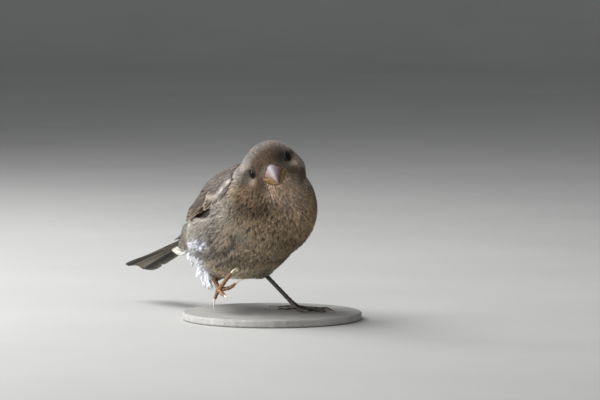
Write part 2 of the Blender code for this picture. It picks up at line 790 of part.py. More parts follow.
# ------------------------------------------- origin: bounding box, bottom centre
lo = np.full(3, 1e9)
hi = -lo
for o in PARTS.objects:
    p = coords(o)
    lo, hi = np.minimum(lo, p.min(0)), np.maximum(hi, p.max(0))
shift = vec(-(lo[0] + hi[0])/2, -(lo[1] + hi[1])/2, -lo[2])
for o in PARTS.objects:
    set_coords(o, coords(o) + shift)
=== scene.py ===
"""House sparrow, life size, in feathers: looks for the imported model.

Everything is worked out in millimetres in the bird's own frame (the trunk heads
along -Y, the bird's left is +X, z = 0 is the top of the base) and moved into
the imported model's frame at the end.
"""
import json
import bpy
import bmesh
import numpy as np
from math import sin, cos, exp, radians, pi, sqrt
from mathutils import Matrix, Vector

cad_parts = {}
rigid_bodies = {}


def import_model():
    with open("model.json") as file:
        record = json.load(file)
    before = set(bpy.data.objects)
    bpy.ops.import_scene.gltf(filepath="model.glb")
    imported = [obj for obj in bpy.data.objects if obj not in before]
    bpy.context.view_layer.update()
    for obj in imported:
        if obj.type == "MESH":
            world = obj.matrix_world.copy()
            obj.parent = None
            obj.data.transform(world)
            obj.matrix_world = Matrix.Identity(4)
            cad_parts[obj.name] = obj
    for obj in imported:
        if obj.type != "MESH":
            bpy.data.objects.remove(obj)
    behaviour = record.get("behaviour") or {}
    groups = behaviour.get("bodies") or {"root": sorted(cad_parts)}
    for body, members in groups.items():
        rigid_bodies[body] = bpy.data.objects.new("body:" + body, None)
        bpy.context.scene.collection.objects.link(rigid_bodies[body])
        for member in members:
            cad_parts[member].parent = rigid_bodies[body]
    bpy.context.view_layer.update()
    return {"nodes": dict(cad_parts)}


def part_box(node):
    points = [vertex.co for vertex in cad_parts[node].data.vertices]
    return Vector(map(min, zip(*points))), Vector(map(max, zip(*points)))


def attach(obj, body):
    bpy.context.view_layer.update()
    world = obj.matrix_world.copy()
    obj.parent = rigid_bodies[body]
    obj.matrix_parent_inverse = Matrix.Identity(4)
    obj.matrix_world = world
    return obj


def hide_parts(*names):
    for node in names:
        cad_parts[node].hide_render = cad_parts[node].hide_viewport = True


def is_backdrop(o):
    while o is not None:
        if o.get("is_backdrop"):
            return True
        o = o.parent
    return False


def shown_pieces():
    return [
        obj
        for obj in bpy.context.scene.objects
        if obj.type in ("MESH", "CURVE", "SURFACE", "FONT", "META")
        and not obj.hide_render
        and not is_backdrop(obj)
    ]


for _o in list(bpy.data.objects):                     # begin from an empty scene
    bpy.data.objects.remove(_o, do_unlink=True)
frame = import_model()

MM = 0.001
_lo, _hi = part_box("stand_base")
SHIFT = np.array([(_lo.x + _hi.x)/2/MM - 6.0, (_lo.y + _hi.y)/2/MM + 6.0, _hi.z/MM])

# ------------------------------------------------------------------ the form
HEAD_AT = (-5.7, -22.7, 59.8)
HEAD_YAW, HEAD_PITCH, HEAD_ROLL = -30.0, 5.0, 26.7
EYE_R = 3.0
EYE_AT = (5.9, 1.6, 0.75)
EYE_LOOK = (0.896, 0.432, 0.10)
LID_OUT = 2.1
ORBIT_R = 3.8
BILL_BASE = 6.6
BILL_TIP = (0.0, 18.7, -3.9)
BILL_W, BILL_W_LOW, CULMEN_H, GONYS_H, FLANGE = 3.55, 4.1, 4.7, 5.0, 1.15
TARSUS_R = 1.0
ANKLE_L, TOES_L = (6.5, 1.6, 15.4), (14.4, -10.6, 1.9)
ANKLE_R, TOES_R = (-6.8, 17.2, 12.8), (-15.1, 0.5, 9.3)
CLAW_R = 0.55
TAIL_ROOT_Y, TAIL_TIP_Y = 46.0, 86.5
TAIL_SLOPE, TAIL_ROLL = 19.5, 15.0
WING_FRONT, WING_BACK, WING_BED = -2.0, 40.0, 1.9
GAP = 0.3


def vec(*a):
    return np.array(a, float)


def unit(v):
    return v/np.maximum(np.linalg.norm(v, axis=-1, keepdims=True), 1e-9)


def head_axes():
    a, p, r = radians(HEAD_YAW), radians(HEAD_PITCH), radians(HEAD_ROLL)
    f = vec(sin(a)*cos(p), -cos(a)*cos(p), -sin(p))
    l0 = vec(cos(a), sin(a), 0)
    u0 = np.cross(f, l0)
    return np.stack([l0*cos(r) + u0*sin(r), f, u0*cos(r) - l0*sin(r)])


HEAD = head_axes()


def to_head(p):
    return (p - vec(*HEAD_AT)) @ HEAD.T


def from_head(q):
    return np.asarray(q, float) @ HEAD + vec(*HEAD_AT)


def smoothstep(x, a, b):
    t = np.clip((x - a)/(b - a), 0, 1)
    return t*t*(3 - 2*t)


def ell(p, c, r):
    q = p - vec(*c)
    r = vec(*r)
    k0 = np.linalg.norm(q/r, axis=-1)
    k1 = np.linalg.norm(q/(r*r), axis=-1)
    return k0*(k0 - 1.0)/np.maximum(k1, 1e-9)


def cone(p, a, b, ra, rb):
    a, b = vec(*a), vec(*b)
    ba = b - a
    l2 = ba @ ba
    rr = ra - rb
    a2 = l2 - rr*rr
    pa = p - a
    y = pa @ ba
    z = y - l2
    x2 = ((pa*l2 - ba*y[..., None])**2).sum(-1)
    y2, z2 = y*y*l2, z*z*l2
    k = np.sign(rr)*rr*rr*x2
    d = (np.sqrt(np.maximum(x2*a2/l2, 0)) + y*rr)/l2 - ra
    d = np.where(np.sign(y)*a2*y2 < k, np.sqrt(x2 + y2)/l2 - ra, d)
    return np.where(np.sign(z)*a2*z2 > k, np.sqrt(x2 + z2)/l2 - rb, d)


def blend(a, b, k):
    h = np.clip(0.5 + 0.5*(b - a)/k, 0, 1)
    return b*(1 - h) + a*h - k*h*(1 - h)


def head_form(p):
    q = to_head(p)
    d = ell(q, (0, -3.9, 0.8), (10.1, 11.0, 8.6))
    for s in (1, -1):
        d = blend(d, ell(q, (s*5.1, -3.3, -4.6), (7.2, 7.6, 6.9)), 3.0)
    d = blend(d, ell(q, (0, 4.0, -1.4), (5.3, 5.8, 5.3)), 3.0)
    return blend(d, ell(q, (0, 0.5, -6.0), (6.5, 8.0, 5.5)), 3.0)


def trunk_form(p):
    d = cone(p, (0.2, -10.5, 41.0), (-0.5, 6, 33.2), 19.1, 19.4)
    d = blend(d, ell(p, (-1, 2, 42.5), (14.6, 18, 14.7)), 6)
    d = blend(d, cone(p, (-0.5, 8, 33), (0, 27, 28.0), 18.4, 12.0), 8)
    for s in (1, -1):
        d = blend(d, ell(p, (s*9.5, 6, 29.5), (9.5, 17, 11.5)), 5)
    return blend(d, cone(p, (0, 27, 28.0), (0, 46, 23.6), 11.0, 4.4), 7)


THIGH_R = ((-12.5, 9, 27), (-7.2, 16.8, 13.4), 9.4, 2.8)
THIGH_L = ((6, 3, 27), (6.6, 2.0, 16.2), 9.0, 2.8)


def eye_look(s):
    return unit(vec(s*EYE_LOOK[0], EYE_LOOK[1], EYE_LOOK[2]))


def eye_at(s):
    return vec(s*EYE_AT[0], EYE_AT[1], EYE_AT[2])


def body_full(p):
    d = blend(trunk_form(p), cone(p, (-0.6, -15.5, 51.5), (1.0, -11.5, 43.0), 10.8, 16.2), 9)
    d = blend(d, head_form(p), 6)
    d = blend(d, np.minimum(cone(p, *THIGH_R), cone(p, *THIGH_L)), 5)
    q = to_head(p)
    for s in (1, -1):
        look = vec(s*EYE_LOOK[0], EYE_LOOK[1], EYE_LOOK[2])
        c = eye_at(s) + look*(LID_OUT + ORBIT_R)
        d = -blend(-d, np.linalg.norm(q - c, axis=-1) - ORBIT_R, 1.2)
    return d


def axis_z(y):
    return np.interp(y, [-10.5, 6, 27, 46], [41.0, 33.2, 28.0, 23.6])


def wing_edges(u):
    return 13 + 7*(1 - u)**2, 80 - 6*u - 32*u**3


def wing_angle(p):
    return np.degrees(np.arctan2(np.abs(p[..., 0]), p[..., 2] - axis_z(p[..., 1])))


def wing_mask(p):
    y, t = p[..., 1], wing_angle(p)
    u = np.clip((y - WING_FRONT)/(WING_BACK - WING_FRONT), 0, 1)
    up, lo = wing_edges(u)
    m = smoothstep(y, WING_FRONT - 1.5, WING_FRONT + 1.5)
    m = m*smoothstep(-y, -WING_BACK - 2, -WING_BACK + 1.5)
    return m*smoothstep(t, up - 5, up + 4)*smoothstep(-t, -lo - 5, -lo + 4)


def body(p):
    return body_full(p) + WING_BED*wing_mask(p)


def gradient(f, p, e=0.15):
    g = np.zeros_like(p)
    for k in range(3):
        o = np.zeros(3)
        o[k] = e
        g[..., k] = f(p + o) - f(p - o)
    return g/(2*e)


def to_surface(f, p, level=0.0, rounds=8):
    for _ in range(rounds):
        g = gradient(f, p)
        n2 = np.maximum((g*g).sum(-1, keepdims=True), 0.2)
        p = p - g*((f(p) - level)[..., None]/n2)*0.9
    return p


def ray_to(f, start, way, level, far=42.0, rounds=50):
    r = np.full(start.shape[:-1], far)
    for _ in range(rounds):
        r = r - 0.8*(f(start + way*r[..., None]) - level)
    return start + way*r[..., None]


def blob(p, c, r):
    """1 at c, fading to 0 over about the radii r."""
    d = (p - vec(*c))/vec(*r)
    return np.exp(-(d*d).sum(-1))


def mix(a, b, w):
    w = np.asarray(w)
    if np.ndim(a) > np.ndim(w) or np.ndim(b) > np.ndim(w):
        w = w[..., None]
    return a*(1 - w) + b*w


def srgb(*c):
    c = vec(*c)/255
    return np.where(c <= 0.04045, c/12.92, ((c + 0.055)/1.055)**2.4)


# a smooth, seeded noise of position, about -1 to 1
_nr = np.random.default_rng(41)
_WAVES = [(_nr.normal(size=3), _nr.uniform(0, 2*pi)) for _ in range(18)]


def wander(p, size):
    """Smooth variation of about that size in mm."""
    v = np.zeros(p.shape[:-1])
    for w, ph in _WAVES:
        v = v + np.sin(p @ (w*2.2/size) + ph)
    return v/3.6


# ------------------------------------------------------- regions and markings
def head_weight(p):
    q = to_head(p)
    return 1 - smoothstep(np.linalg.norm((q - vec(0, -2.5, -1.5))/vec(1, 1, 0.93), axis=-1), 11.5, 17.5)


def face_weight(q):
    return np.exp(-((q - vec(0, 6.5, -1.0))**2).sum(-1)/46)


def thigh_weight(p):
    w = np.zeros(p.shape[:-1])
    for a, b, ra, rb in (THIGH_R, THIGH_L):
        a, b = vec(*a), vec(*b)
        t = np.clip(((p - a) @ (b - a))/((b - a) @ (b - a)), 0, 1.15)
        c = a + (b - a)*t[..., None]
        d = np.linalg.norm(p - c, axis=-1) - (ra + (rb - ra)*t)
        w = np.maximum(w, np.exp(-np.maximum(d, 0)**2/4)*smoothstep(t, 0.45, 0.85))
    return w


def coat_depth(p):
    """How far the skin lies below the feathered outline, mm."""
    q = to_head(p)
    d = mix(1.7 + 0*q[..., 0], 0.8, head_weight(p))
    d = mix(d, 0.42, np.clip(face_weight(q)*1.5, 0, 1))
    d = mix(d, 0.9, thigh_weight(p))
    return mix(d, 0.35, wing_mask(p))


CROWN = srgb(121, 114, 108)
CROWN_BACK = srgb(130, 125, 122)
FOREHEAD = srgb(76, 56, 37)
LORE = srgb(44, 32, 22)
EAR = srgb(84, 64, 50)
BROW = srgb(172, 162, 152)
CHEEK_PALE = srgb(212, 198, 190)
MALAR = srgb(58, 42, 29)
THROAT = srgb(232, 206, 190)
CHIN_SHADE = srgb(64, 48, 30)
BREAST = srgb(180, 158, 128)
BREAST_SIDE = srgb(139, 132, 123)
BELLY = srgb(156, 139, 113)
# the lower belly, painted paler as painted light for the shade beneath the body
BELLY_LOW = srgb(166, 148, 120)
FLANK = srgb(134, 129, 118)
WHITE = srgb(244, 246, 250)
MANTLE = srgb(119, 111, 102)
RUMP = srgb(98, 93, 84)
LOBE = srgb(150, 134, 118)
BROWN_SPOT = srgb(96, 66, 46)
DOWN = srgb(78, 72, 66)
FLANK_RIM = srgb(168, 162, 149)
CRESCENT = srgb(200, 200, 210)
NECK = srgb(106, 86, 62)
# painted shadow: the colour of the dark lines where the flank lobes overlap
LOBE_SHADOW_LINE = srgb(46, 38, 30)


def stroke(p, a, b, r):
    """1 along the line from a to b, fading to 0 over about r mm."""
    a, b = vec(*a), vec(*b)
    t = np.clip(((p - a) @ (b - a))/((b - a) @ (b - a)), 0, 1)
    d = np.linalg.norm(p - a - t[..., None]*(b - a), axis=-1)
    return np.exp(-(d/r)**2)


def markings(p):
    """Colour of the plumage at a place on the body, shared by skin and coat."""
    q = to_head(p)
    x, y, z = p[..., 0], p[..., 1], p[..., 2]
    n = q.shape[:-1]
    c = mix(np.broadcast_to(MANTLE, n + (3,)), BREAST, smoothstep(-y, -2, 10)*smoothstep(-z, -58, -47))
    under = smoothstep(-z + axis_z(y) - 0.35*np.abs(x), -2, 10)
    c = mix(c, BELLY, under)
    c = mix(c, RUMP, smoothstep(y, 22, 32)*smoothstep(z - axis_z(y), -2, 4))
    side = smoothstep(np.abs(x), 13, 18)*smoothstep(y, -9, 1)*smoothstep(axis_z(y) + 9 - z, 0, 5)
    c = mix(c, FLANK, side*smoothstep(z, 14, 24))
    # breast: warm in the middle, paler and greyer to the sides, dark under the chin
    c = mix(c, BREAST, smoothstep(-y, 8, 16)*smoothstep(z, 26, 34)*smoothstep(-z, -54, -46))
    for s in (1, -1):
        c = mix(c, BREAST_SIDE, np.clip(1.15*blob(p, (s*18.5, -9, 43.5), (6.5, 10, 9.5)), 0, 0.95))
    c = mix(c, BREAST*1.14, 0.5*blob(p, (-3, -30, 37), (7, 7, 7)))
    c = mix(c, BREAST*0.64, 0.92*blob(p, (-9.5, -24.5, 34.0), (9.0, 9.5, 8.0)))
    c = mix(c, BREAST_SIDE*0.66, 0.8*blob(p, (-15.8, -15.5, 32.0), (4.5, 6.5, 6.5)))
    # painted light: the pale upper breast under the bill, painted paler still against the shade of the head above it
    c = mix(c, BREAST*1.45, 0.95*blob(p, (0.2, -31, 45.4), (5.6, 5, 5.6)))
    c = mix(c, CHIN_SHADE, np.clip(1.15*blob(p, (-14.3, -24.0, 44.3), (5.6, 6.5, 3.7)), 0, 0.92))
    c = mix(c, CHIN_SHADE*1.2, 0.6*stroke(p, (-12.4, -25.5, 50.6), (-11.6, -26.6, 42.5), 2.3))
    # painted light: the lower belly, in shade as it faces down, is painted paler towards the bottom
    c = mix(c, BELLY_LOW, 0.95*smoothstep(-z, -25, -19)*smoothstep(-y, -8, -1))
    c = mix(c, srgb(224, 205, 174), 0.95*smoothstep(-z, -21.5, -18)*smoothstep(-y, -8, -1)*smoothstep(x, -13, -6))
    c = mix(c, srgb(214, 192, 160), 0.8*blob(p, (4.5, -17.0, 24.5), (5.0, 5.5, 4.0)))
    # vent and undertail, pale to white; white tufts of the flanks
    c = mix(c, WHITE, 0.85*smoothstep(y, 14, 24)*smoothstep(axis_z(y) - z, 2, 7))
    for s in (1, -1):
        c = mix(c, LOBE, np.clip(1.3*stroke(p, (s*18.7, -9.5, 34.6), (s*18.0, -7.5, 29.4), 2.9), 0, 0.95))
        c = mix(c, LOBE*1.22, np.clip(1.3*stroke(p, (s*15.6, -10.0, 26.2), (s*16.9, -2.6, 21.6), 2.5), 0, 0.95))
        # painted shadow: dark lines along the edges of the flank lobes, where one lobe overlaps the next
        c = mix(c, LOBE_SHADOW_LINE, np.clip(1.3*stroke(p, (s*17.6, -3.0, 23.8), (s*17.2, -6.8, 25.8), 1.0), 0, 0.80))
        c = mix(c, LOBE_SHADOW_LINE, np.clip(1.3*stroke(p, (s*17.2, -6.8, 25.8), (s*16.1, -11.0, 28.2), 1.05), 0, 0.82))
        c = mix(c, LOBE_SHADOW_LINE, np.clip(1.1*stroke(p, (s*17.4, -12.6, 32.4), (s*16.0, -12.2, 28.4), 1.0), 0, 0.72))
        c = mix(c, LOBE_SHADOW_LINE, np.clip(1.2*stroke(p, (s*16.0, -1.1, 19.8), (s*13.9, -8.9, 22.8), 1.0), 0, 0.75))
        c = mix(c, LOBE_SHADOW_LINE*1.6, 0.6*stroke(p, (s*19.6, -4.6, 37.6), (s*20.0, -2.2, 31.0), 1.0))
        # the smooth flank lobe: pale rim above and behind, then a white crescent below it
        c = mix(c, FLANK_RIM, np.clip(1.2*stroke(p, (s*19.9, -3.5, 40.2), (s*20.6, 4.0, 38.8), 1.3), 0, 0.9))
        c = mix(c, FLANK_RIM, np.clip(1.2*stroke(p, (s*20.6, 4.0, 38.8), (s*21.4, 11.5, 35.6), 1.5), 0, 0.9))
        c = mix(c, FLANK_RIM, np.clip(1.1*stroke(p, (s*21.6, 11.5, 35.6), (s*22.6, 10.2, 30.4), 1.5), 0, 0.8))
        c = mix(c, CRESCENT, np.clip(1.5*stroke(p, (s*21.3, 0.8, 28.6), (s*22.7, 9.0, 27.7), 1.75), 0, 1))
        # painted shadow: a grey line between the white crescent and the white below it
        c = mix(c, srgb(98, 95, 92), np.clip(1.3*stroke(p, (s*20.8, 2.6, 23.4), (s*22.0, 10.6, 23.9), 1.25), 0, 0.9))
        c = mix(c, srgb(118, 94, 76), 0.75*stroke(p, (s*22.3, 12.8, 27.4), (s*21.6, 13.6, 24.6), 1.5))
        c = mix(c, WHITE, np.clip(1.9*stroke(p, (s*20.6, 8.2, 21.0), (s*17.4, 9.6, 17.6), 2.8), 0, 1))
        c = mix(c, WHITE*0.72, 0.7*stroke(p, (s*20.3, 3.4, 21.6), (s*17.2, 5.0, 18.0), 1.6))
        # pale patch at the bend of the wing, brown spot behind the flank
        c = mix(c, srgb(206, 196, 186), np.clip(1.4*stroke(p, (s*15.6, -9.5, 53.6), (s*18.4, -5.6, 47.4), 1.7), 0, 0.95))
        c = mix(c, BROWN_SPOT, 0.85*blob(p, (s*13.0, 27.4, 25.4), (2.6, 2.6, 3.4)))
    c = mix(c, FLANK*0.66, 0.7*blob(p, (-19.6, -4.2, 35.0), (3.0, 4.2, 4.4)))
    c = mix(c, srgb(66, 58, 48), 0.9*blob(p, (-12.2, -10.5, 23.1), (2.4, 2.8, 2.0)))
    c = mix(c, BELLY_LOW*0.5, 0.6*blob(p, (-10.5, -12.0, 22.5), (3.6, 3.6, 2.6)))
    c = mix(c, srgb(140, 124, 106), thigh_weight(p)*0.7)
    # head
    h = head_weight(p)
    k = mix(np.broadcast_to(CROWN, n + (3,)), CROWN_BACK,
            smoothstep(np.linalg.norm(q - vec(1.5, 6, 3.5), axis=-1), 8, 15))
    below = smoothstep(-q[..., 2], 1.0, 6.0)
    k = mix(k, THROAT, below*smoothstep(6.5 - np.abs(q[..., 0]), 0, 3.5))
    k = mix(k, CHEEK_PALE, below*smoothstep(np.abs(q[..., 0]), 3.5, 7)*0.9)
    k = mix(k, srgb(98, 88, 82), np.clip(1.2*blob(q, (1.6, 5.0, 6.2), (5.6, 3.6, 2.6)), 0, 0.8))
    k = mix(k, FOREHEAD, np.clip(2.0*blob(q, (0.4, 6.0, 4.4), (5.8, 4.2, 2.9)), 0, 1))
    k = mix(k, FOREHEAD*0.9, np.clip(0.6*blob(q, (3.2, 4.0, 5.6), (3.6, 3.0, 2.2)), 0, 1))
    for s in (1, -1):
        # pale line over and behind the eye, dark lore, brown ear coverts
        k = mix(k, BROW, 0.75*blob(q, (s*9.0, -2.6, 3.9), (2.4, 5.0, 1.7)))
        k = mix(k, LORE, np.clip(1.35*blob(q, (s*4.0, 6.2, 1.9), (2.0, 2.2, 1.9)), 0, 1))
        k = mix(k, LORE*1.2, np.clip(1.2*blob(q, (s*5.9, 4.6, 2.4), (1.9, 1.8, 1.9)), 0, 1))
        k = mix(k, LORE*1.4, 0.9*blob(q, (s*10.0, -1.4, 1.2), (2.0, 2.3, 1.1)))
        k = mix(k, CHEEK_PALE, np.clip(1.3*blob(q, (s*8.6, 3.6, -2.6), (2.8, 2.4, 1.9)), 0, 1))
        k = mix(k, EAR, np.clip(1.35*blob(q, (s*9.4, 1.8, -8.4), (3.6, 3.8, 3.4)), 0, 0.95))
        k = mix(k, EAR*0.8, 0.8*stroke(q, (s*5.6, 7.0, -3.2), (s*9.0, 3.6, -6.4), 1.2))
        k = mix(k, MALAR*1.1, np.clip(1.15*blob(q, (s*7.6, 6.0, -4.4), (2.4, 2.5, 2.1)), 0, 0.95))
        k = mix(k, MALAR*1.3, (0.25 if s > 0 else 0.75)*stroke(q, (s*7.2, 5.9, -5.4), (s*9.4, 5.5, -14.0), 2.3))
    k = mix(k, LORE, 0.8*blob(q, (-3.9, 4.9, 5.4), (1.7, 1.7, 1.3)))
    c = mix(c, k, h)
    c = mix(c, THROAT*0.95, 0.9*blob(q, (-1.2, 7.4, -11.0), (2.1, 4.0, 5.4)))
    c = mix(c, THROAT, np.clip(1.15*blob(q, (3.2, 7.0, -13.6), (4.8, 4.6, 6.2)), 0, 0.92))
    # brown below the cheeks and between eye and bill
    for s in (1, -1):
        c = mix(c, NECK, np.clip(1.5*blob(p, (s*15.9, -20.0, 49.6), (4.8, 5.2, 5.2)), 0, 0.95))
        c = mix(c, NECK*0.8, np.clip(1.1*blob(p, (s*15.4, -22.0, 45.4), (4.2, 4.2, 3.6)), 0, 0.9))
    c = mix(c, NECK*0.95, 0.9*blob(p, (-12.4, -26.2, 51.2), (3.0, 3.0, 4.6)))
    c = mix(c, FOREHEAD*1.1, np.clip(1.0*stroke(p, (-13.2, -23.6, 61.6), (-12.5, -26.6, 52.6), 1.8), 0, 0.85))
    front = h*smoothstep(q[..., 1], -2, 4)*smoothstep(6.2 - q[..., 2], 0, 3)
    c = c*(1 + front[..., None]*(vec(1.04, 0.985, 0.84) - 1))
    c = c*(1 + (1 - h)[..., None]*smoothstep(-y, 4, 12)[..., None]*(vec(1.03, 0.99, 0.92) - 1))
    # a little unevenness everywhere
    return c*(1 + 0.07*wander(p, 9.0) + 0.08*wander(p[..., ::-1], 3.0))[..., None]


# ------------------------------------------------------------- Blender tools
RNG = np.random.default_rng(2024)
COLL = bpy.context.scene.collection


def mesh_object(name, verts, faces, smooth=True, mat=None):
    """verts in mm, faces as an array of equal polygons or a list of arrays."""
    me = bpy.data.meshes.new(name)
    lists = faces if isinstance(faces, list) else [faces]
    lists = [np.asarray(f, np.int32) for f in lists if len(f)]
    me.vertices.add(len(verts))
    me.vertices.foreach_set("co", ((verts + SHIFT)*MM).astype(np.float32).ravel())
    loops = np.concatenate([f.ravel() for f in lists])
    sizes = np.concatenate([np.full(len(f), f.shape[1], np.int32) for f in lists])
    me.loops.add(len(loops))
    me.loops.foreach_set("vertex_index", loops)
    me.polygons.add(len(sizes))
    me.polygons.foreach_set("loop_start", np.r_[0, np.cumsum(sizes)[:-1]].astype(np.int32))
    me.polygons.foreach_set("loop_total", sizes)
    me.polygons.foreach_set("use_smooth", np.full(len(sizes), smooth))
    me.update(calc_edges=True)
    o = bpy.data.objects.new(name, me)
    COLL.objects.link(o)
    if mat is not None:
        me.materials.append(mat)
    return o


def set_tint(o, colours, name="tint"):
    a = o.data.color_attributes.new(name, "FLOAT_COLOR", "POINT")
    rgba = np.ones((len(colours), 4), np.float32)
    rgba[:, :3] = np.clip(colours, 0, 1)
    a.data.foreach_set("color", rgba.ravel())


def set_vector(o, name, values):
    a = o.data.attributes.new(name, "FLOAT_VECTOR", "POINT")
    a.data.foreach_set("vector", np.asarray(values, np.float32).ravel())


def set_uv(o, uv):
    """uv per vertex, written to the loops of the map OFBake."""
    lay = o.data.uv_layers.new(name="OFBake")
    idx = np.zeros(len(o.data.loops), np.int32)
    o.data.loops.foreach_get("vertex_index", idx)
    lay.data.foreach_set("uv", uv[idx].astype(np.float32).ravel())


def skin_uv(p):
    """The unwrap of the skin: the head round its own fore-and-aft axis, the
    trunk round its long axis, side by side."""
    q = to_head(p) - vec(0, -2.5, -1.5)
    th = np.arccos(np.clip(q[..., 1]/np.maximum(np.linalg.norm(q, axis=-1), 1e-6), -1, 1))/pi
    hu = np.stack([0.02 + 0.96*(0.5 + np.arctan2(q[..., 0], q[..., 2])/(2*pi)), 0.99 - 0.33*th], -1)
    r = p - vec(0, 8, 33)
    tt = np.arccos(np.clip(-r[..., 1]/np.maximum(np.linalg.norm(r, axis=-1), 1e-6), -1, 1))/pi
    tu = np.stack([0.02 + 0.96*(0.5 + np.arctan2(r[..., 0], r[..., 2])/(2*pi)), 0.63 - 0.61*tt], -1)
    return np.where((head_weight(p) > 0.5)[..., None], hu, tu)


def coords(o):
    a = np.zeros(len(o.data.vertices)*3, np.float32)
    o.data.vertices.foreach_get("co", a)
    return a.reshape(-1, 3).astype(float)/MM - SHIFT


def set_coords(o, p):
    o.data.vertices.foreach_set("co", ((p + SHIFT)*MM).astype(np.float32).ravel())
    o.data.update()


def baked(o):
    dg = bpy.context.evaluated_depsgraph_get()
    dg.update()
    me = bpy.data.meshes.new_from_object(o.evaluated_get(dg))
    name = o.name
    bpy.data.objects.remove(o, do_unlink=True)
    new = bpy.data.objects.new(name, me)
    COLL.objects.link(new)
    return new


def remeshed(o, voxel, smooth=0):
    m = o.modifiers.new("voxels", "REMESH")
    m.mode = "VOXEL"
    m.voxel_size = voxel*MM
    m.use_smooth_shade = True
    if smooth:
        s = o.modifiers.new("soften", "SMOOTH")
        s.iterations = smooth
        s.factor = 0.5
    return baked(o)


def tri_count(o):
    return sum(len(p.vertices) - 2 for p in o.data.polygons)


def ball_grid(nu, nv):
    """Unit sphere with its poles on z, as verts and faces (quads, tris)."""
    v = [(0, 0, 1.0)]
    for j in range(1, nv):
        a = pi*j/nv
        for i in range(nu):
            b = 2*pi*i/nu
            v.append((sin(a)*cos(b), sin(a)*sin(b), cos(a)))
    v.append((0, 0, -1.0))
    quads, tris = [], []
    for i in range(nu):
        k = (i + 1) % nu
        tris.append((0, 1 + i, 1 + k))
        for j in range(nv - 2):
            a = 1 + j*nu
            quads.append((a + i, a + nu + i, a + nu + k, a + k))
        last = 1 + (nv - 2)*nu
        tris.append((last + i, len(v) - 1, last + k))
    return np.array(v, float), np.array(quads), np.array(tris)


def tube_mesh(pts, rad, sides, flat=1.0, up=None, shape=None):
    """A closed tapered tube along pts; shape(t, ang) scales the radius."""
    pts = np.asarray(pts, float)
    n = len(pts)
    tan = unit(np.gradient(pts, axis=0))
    ref = vec(0, 0, 1) if up is None else vec(*up)
    a = unit(np.cross(tan, ref))
    b = np.cross(a, tan)
    ang = np.linspace(0, 2*pi, sides, endpoint=False)
    r = np.asarray(rad, float)[:, None]*np.ones((1, sides))
    if shape is not None:
        r = r*shape(np.linspace(0, 1, n)[:, None], ang[None, :])
    v = (pts[:, None] + a[:, None]*(r*np.cos(ang)*flat)[..., None]
         + b[:, None]*(r*np.sin(ang))[..., None]).reshape(-1, 3)
    i = np.arange(sides)
    k = (i + 1) % sides
    quads = np.concatenate([np.stack([j*sides + i, (j + 1)*sides + i, (j + 1)*sides + k, j*sides + k], -1)
                            for j in range(n - 1)])
    v = np.vstack([v, pts[0] - tan[0]*rad[0]*0.5, pts[-1] + tan[-1]*rad[-1]*0.7])
    c0, c1 = n*sides, n*sides + 1
    last = (n - 1)*sides
    tris = np.concatenate([np.stack([np.full(sides, c0), i, k], -1),
                           np.stack([np.full(sides, c1), last + k, last + i], -1)])
    return v, quads, tris


def orient(o):
    bm = bmesh.new()
    bm.from_mesh(o.data)
    bmesh.ops.recalc_face_normals(bm, faces=bm.faces)
    bm.to_mesh(o.data)
    bm.free()


def catmull(ctrl, n):
    c = np.array(ctrl, float)
    c = np.vstack([2*c[0] - c[1], c, 2*c[-1] - c[-2]])
    out = []
    for i in range(1, len(c) - 2):
        for t in np.linspace(0, 1, 24, endpoint=False):
            out.append(0.5*((2*c[i]) + (c[i+1] - c[i-1])*t
                            + (2*c[i-1] - 5*c[i] + 4*c[i+1] - c[i+2])*t*t
                            + (3*c[i] - c[i-1] - 3*c[i+1] + c[i+2])*t**3))
    out.append(c[-2])
    out = np.array(out)
    s = np.r_[0, np.cumsum(np.linalg.norm(np.diff(out, axis=0), axis=1))]
    at = np.linspace(0, s[-1], n)
    return np.stack([np.interp(at, s, out[:, k]) for k in range(3)], -1)


# ------------------------------------------------------------------ materials
class Nodes:
    """A small helper for building node materials."""

    def __init__(self, name):
        self.m = bpy.data.materials.new(name)
        self.m.use_nodes = True
        self.t = self.m.node_tree
        self.b = self.t.nodes["Principled BSDF"]

    def add(self, kind, **values):
        n = self.t.nodes.new("ShaderNode" + kind)
        for k, v in values.items():
            if hasattr(n, k):
                setattr(n, k, v)
            else:
                n.inputs[k].default_value = v
        return n

    def link(self, a, b):
        self.t.links.new(a, b)

    def set(self, **values):
        for k, v in values.items():
            self.b.inputs[k.replace("_", " ")].default_value = v

    def place(self):
        return self.add("TexCoord").outputs["Object"]

    def noise(self, scale, detail=3.0, rough=0.55, vector=None):
        n = self.add("TexNoise")
        n.inputs["Scale"].default_value = scale
        n.inputs["Detail"].default_value = detail
        n.inputs["Roughness"].default_value = rough
        self.link(vector if vector is not None else self.place(), n.inputs["Vector"])
        return n.outputs["Fac"]

    def remap(self, v, a, b, lo, hi):
        n = self.add("MapRange")
        for i, x in zip(("From Min", "From Max", "To Min", "To Max"), (a, b, lo, hi)):
            n.inputs[i].default_value = x
        self.link(v, n.inputs["Value"])
        return n.outputs["Result"]

    def blend(self, mode, fac, a, b):
        n = self.add("Mix", data_type="RGBA", blend_type=mode)
        for v, i in ((fac, n.inputs[0]), (a, n.inputs[6]), (b, n.inputs[7])):
            if hasattr(v, "links") or hasattr(v, "is_linked"):
                self.link(v, i)
            elif isinstance(v, (int, float)):
                i.default_value = v
            else:
                i.default_value = (*v, 1.0)
        return n.outputs[2]

    def ramp(self, v, stops):
        n = self.add("ValToRGB")
        e = n.color_ramp.elements
        while len(e) < len(stops):
            e.new(0.5)
        for s, (at, col) in zip(e, stops):
            s.position = at
            s.color = (*col, 1.0)
        self.link(v, n.inputs["Fac"])
        return n.outputs["Color"]

    def bump(self, height, strength, distance, onto=None):
        n = self.add("Bump")
        n.inputs["Strength"].default_value = strength
        n.inputs["Distance"].default_value = distance
        self.link(height, n.inputs["Height"])
        if onto is not None:
            self.link(onto, n.inputs["Normal"])
        return n.outputs["Normal"]


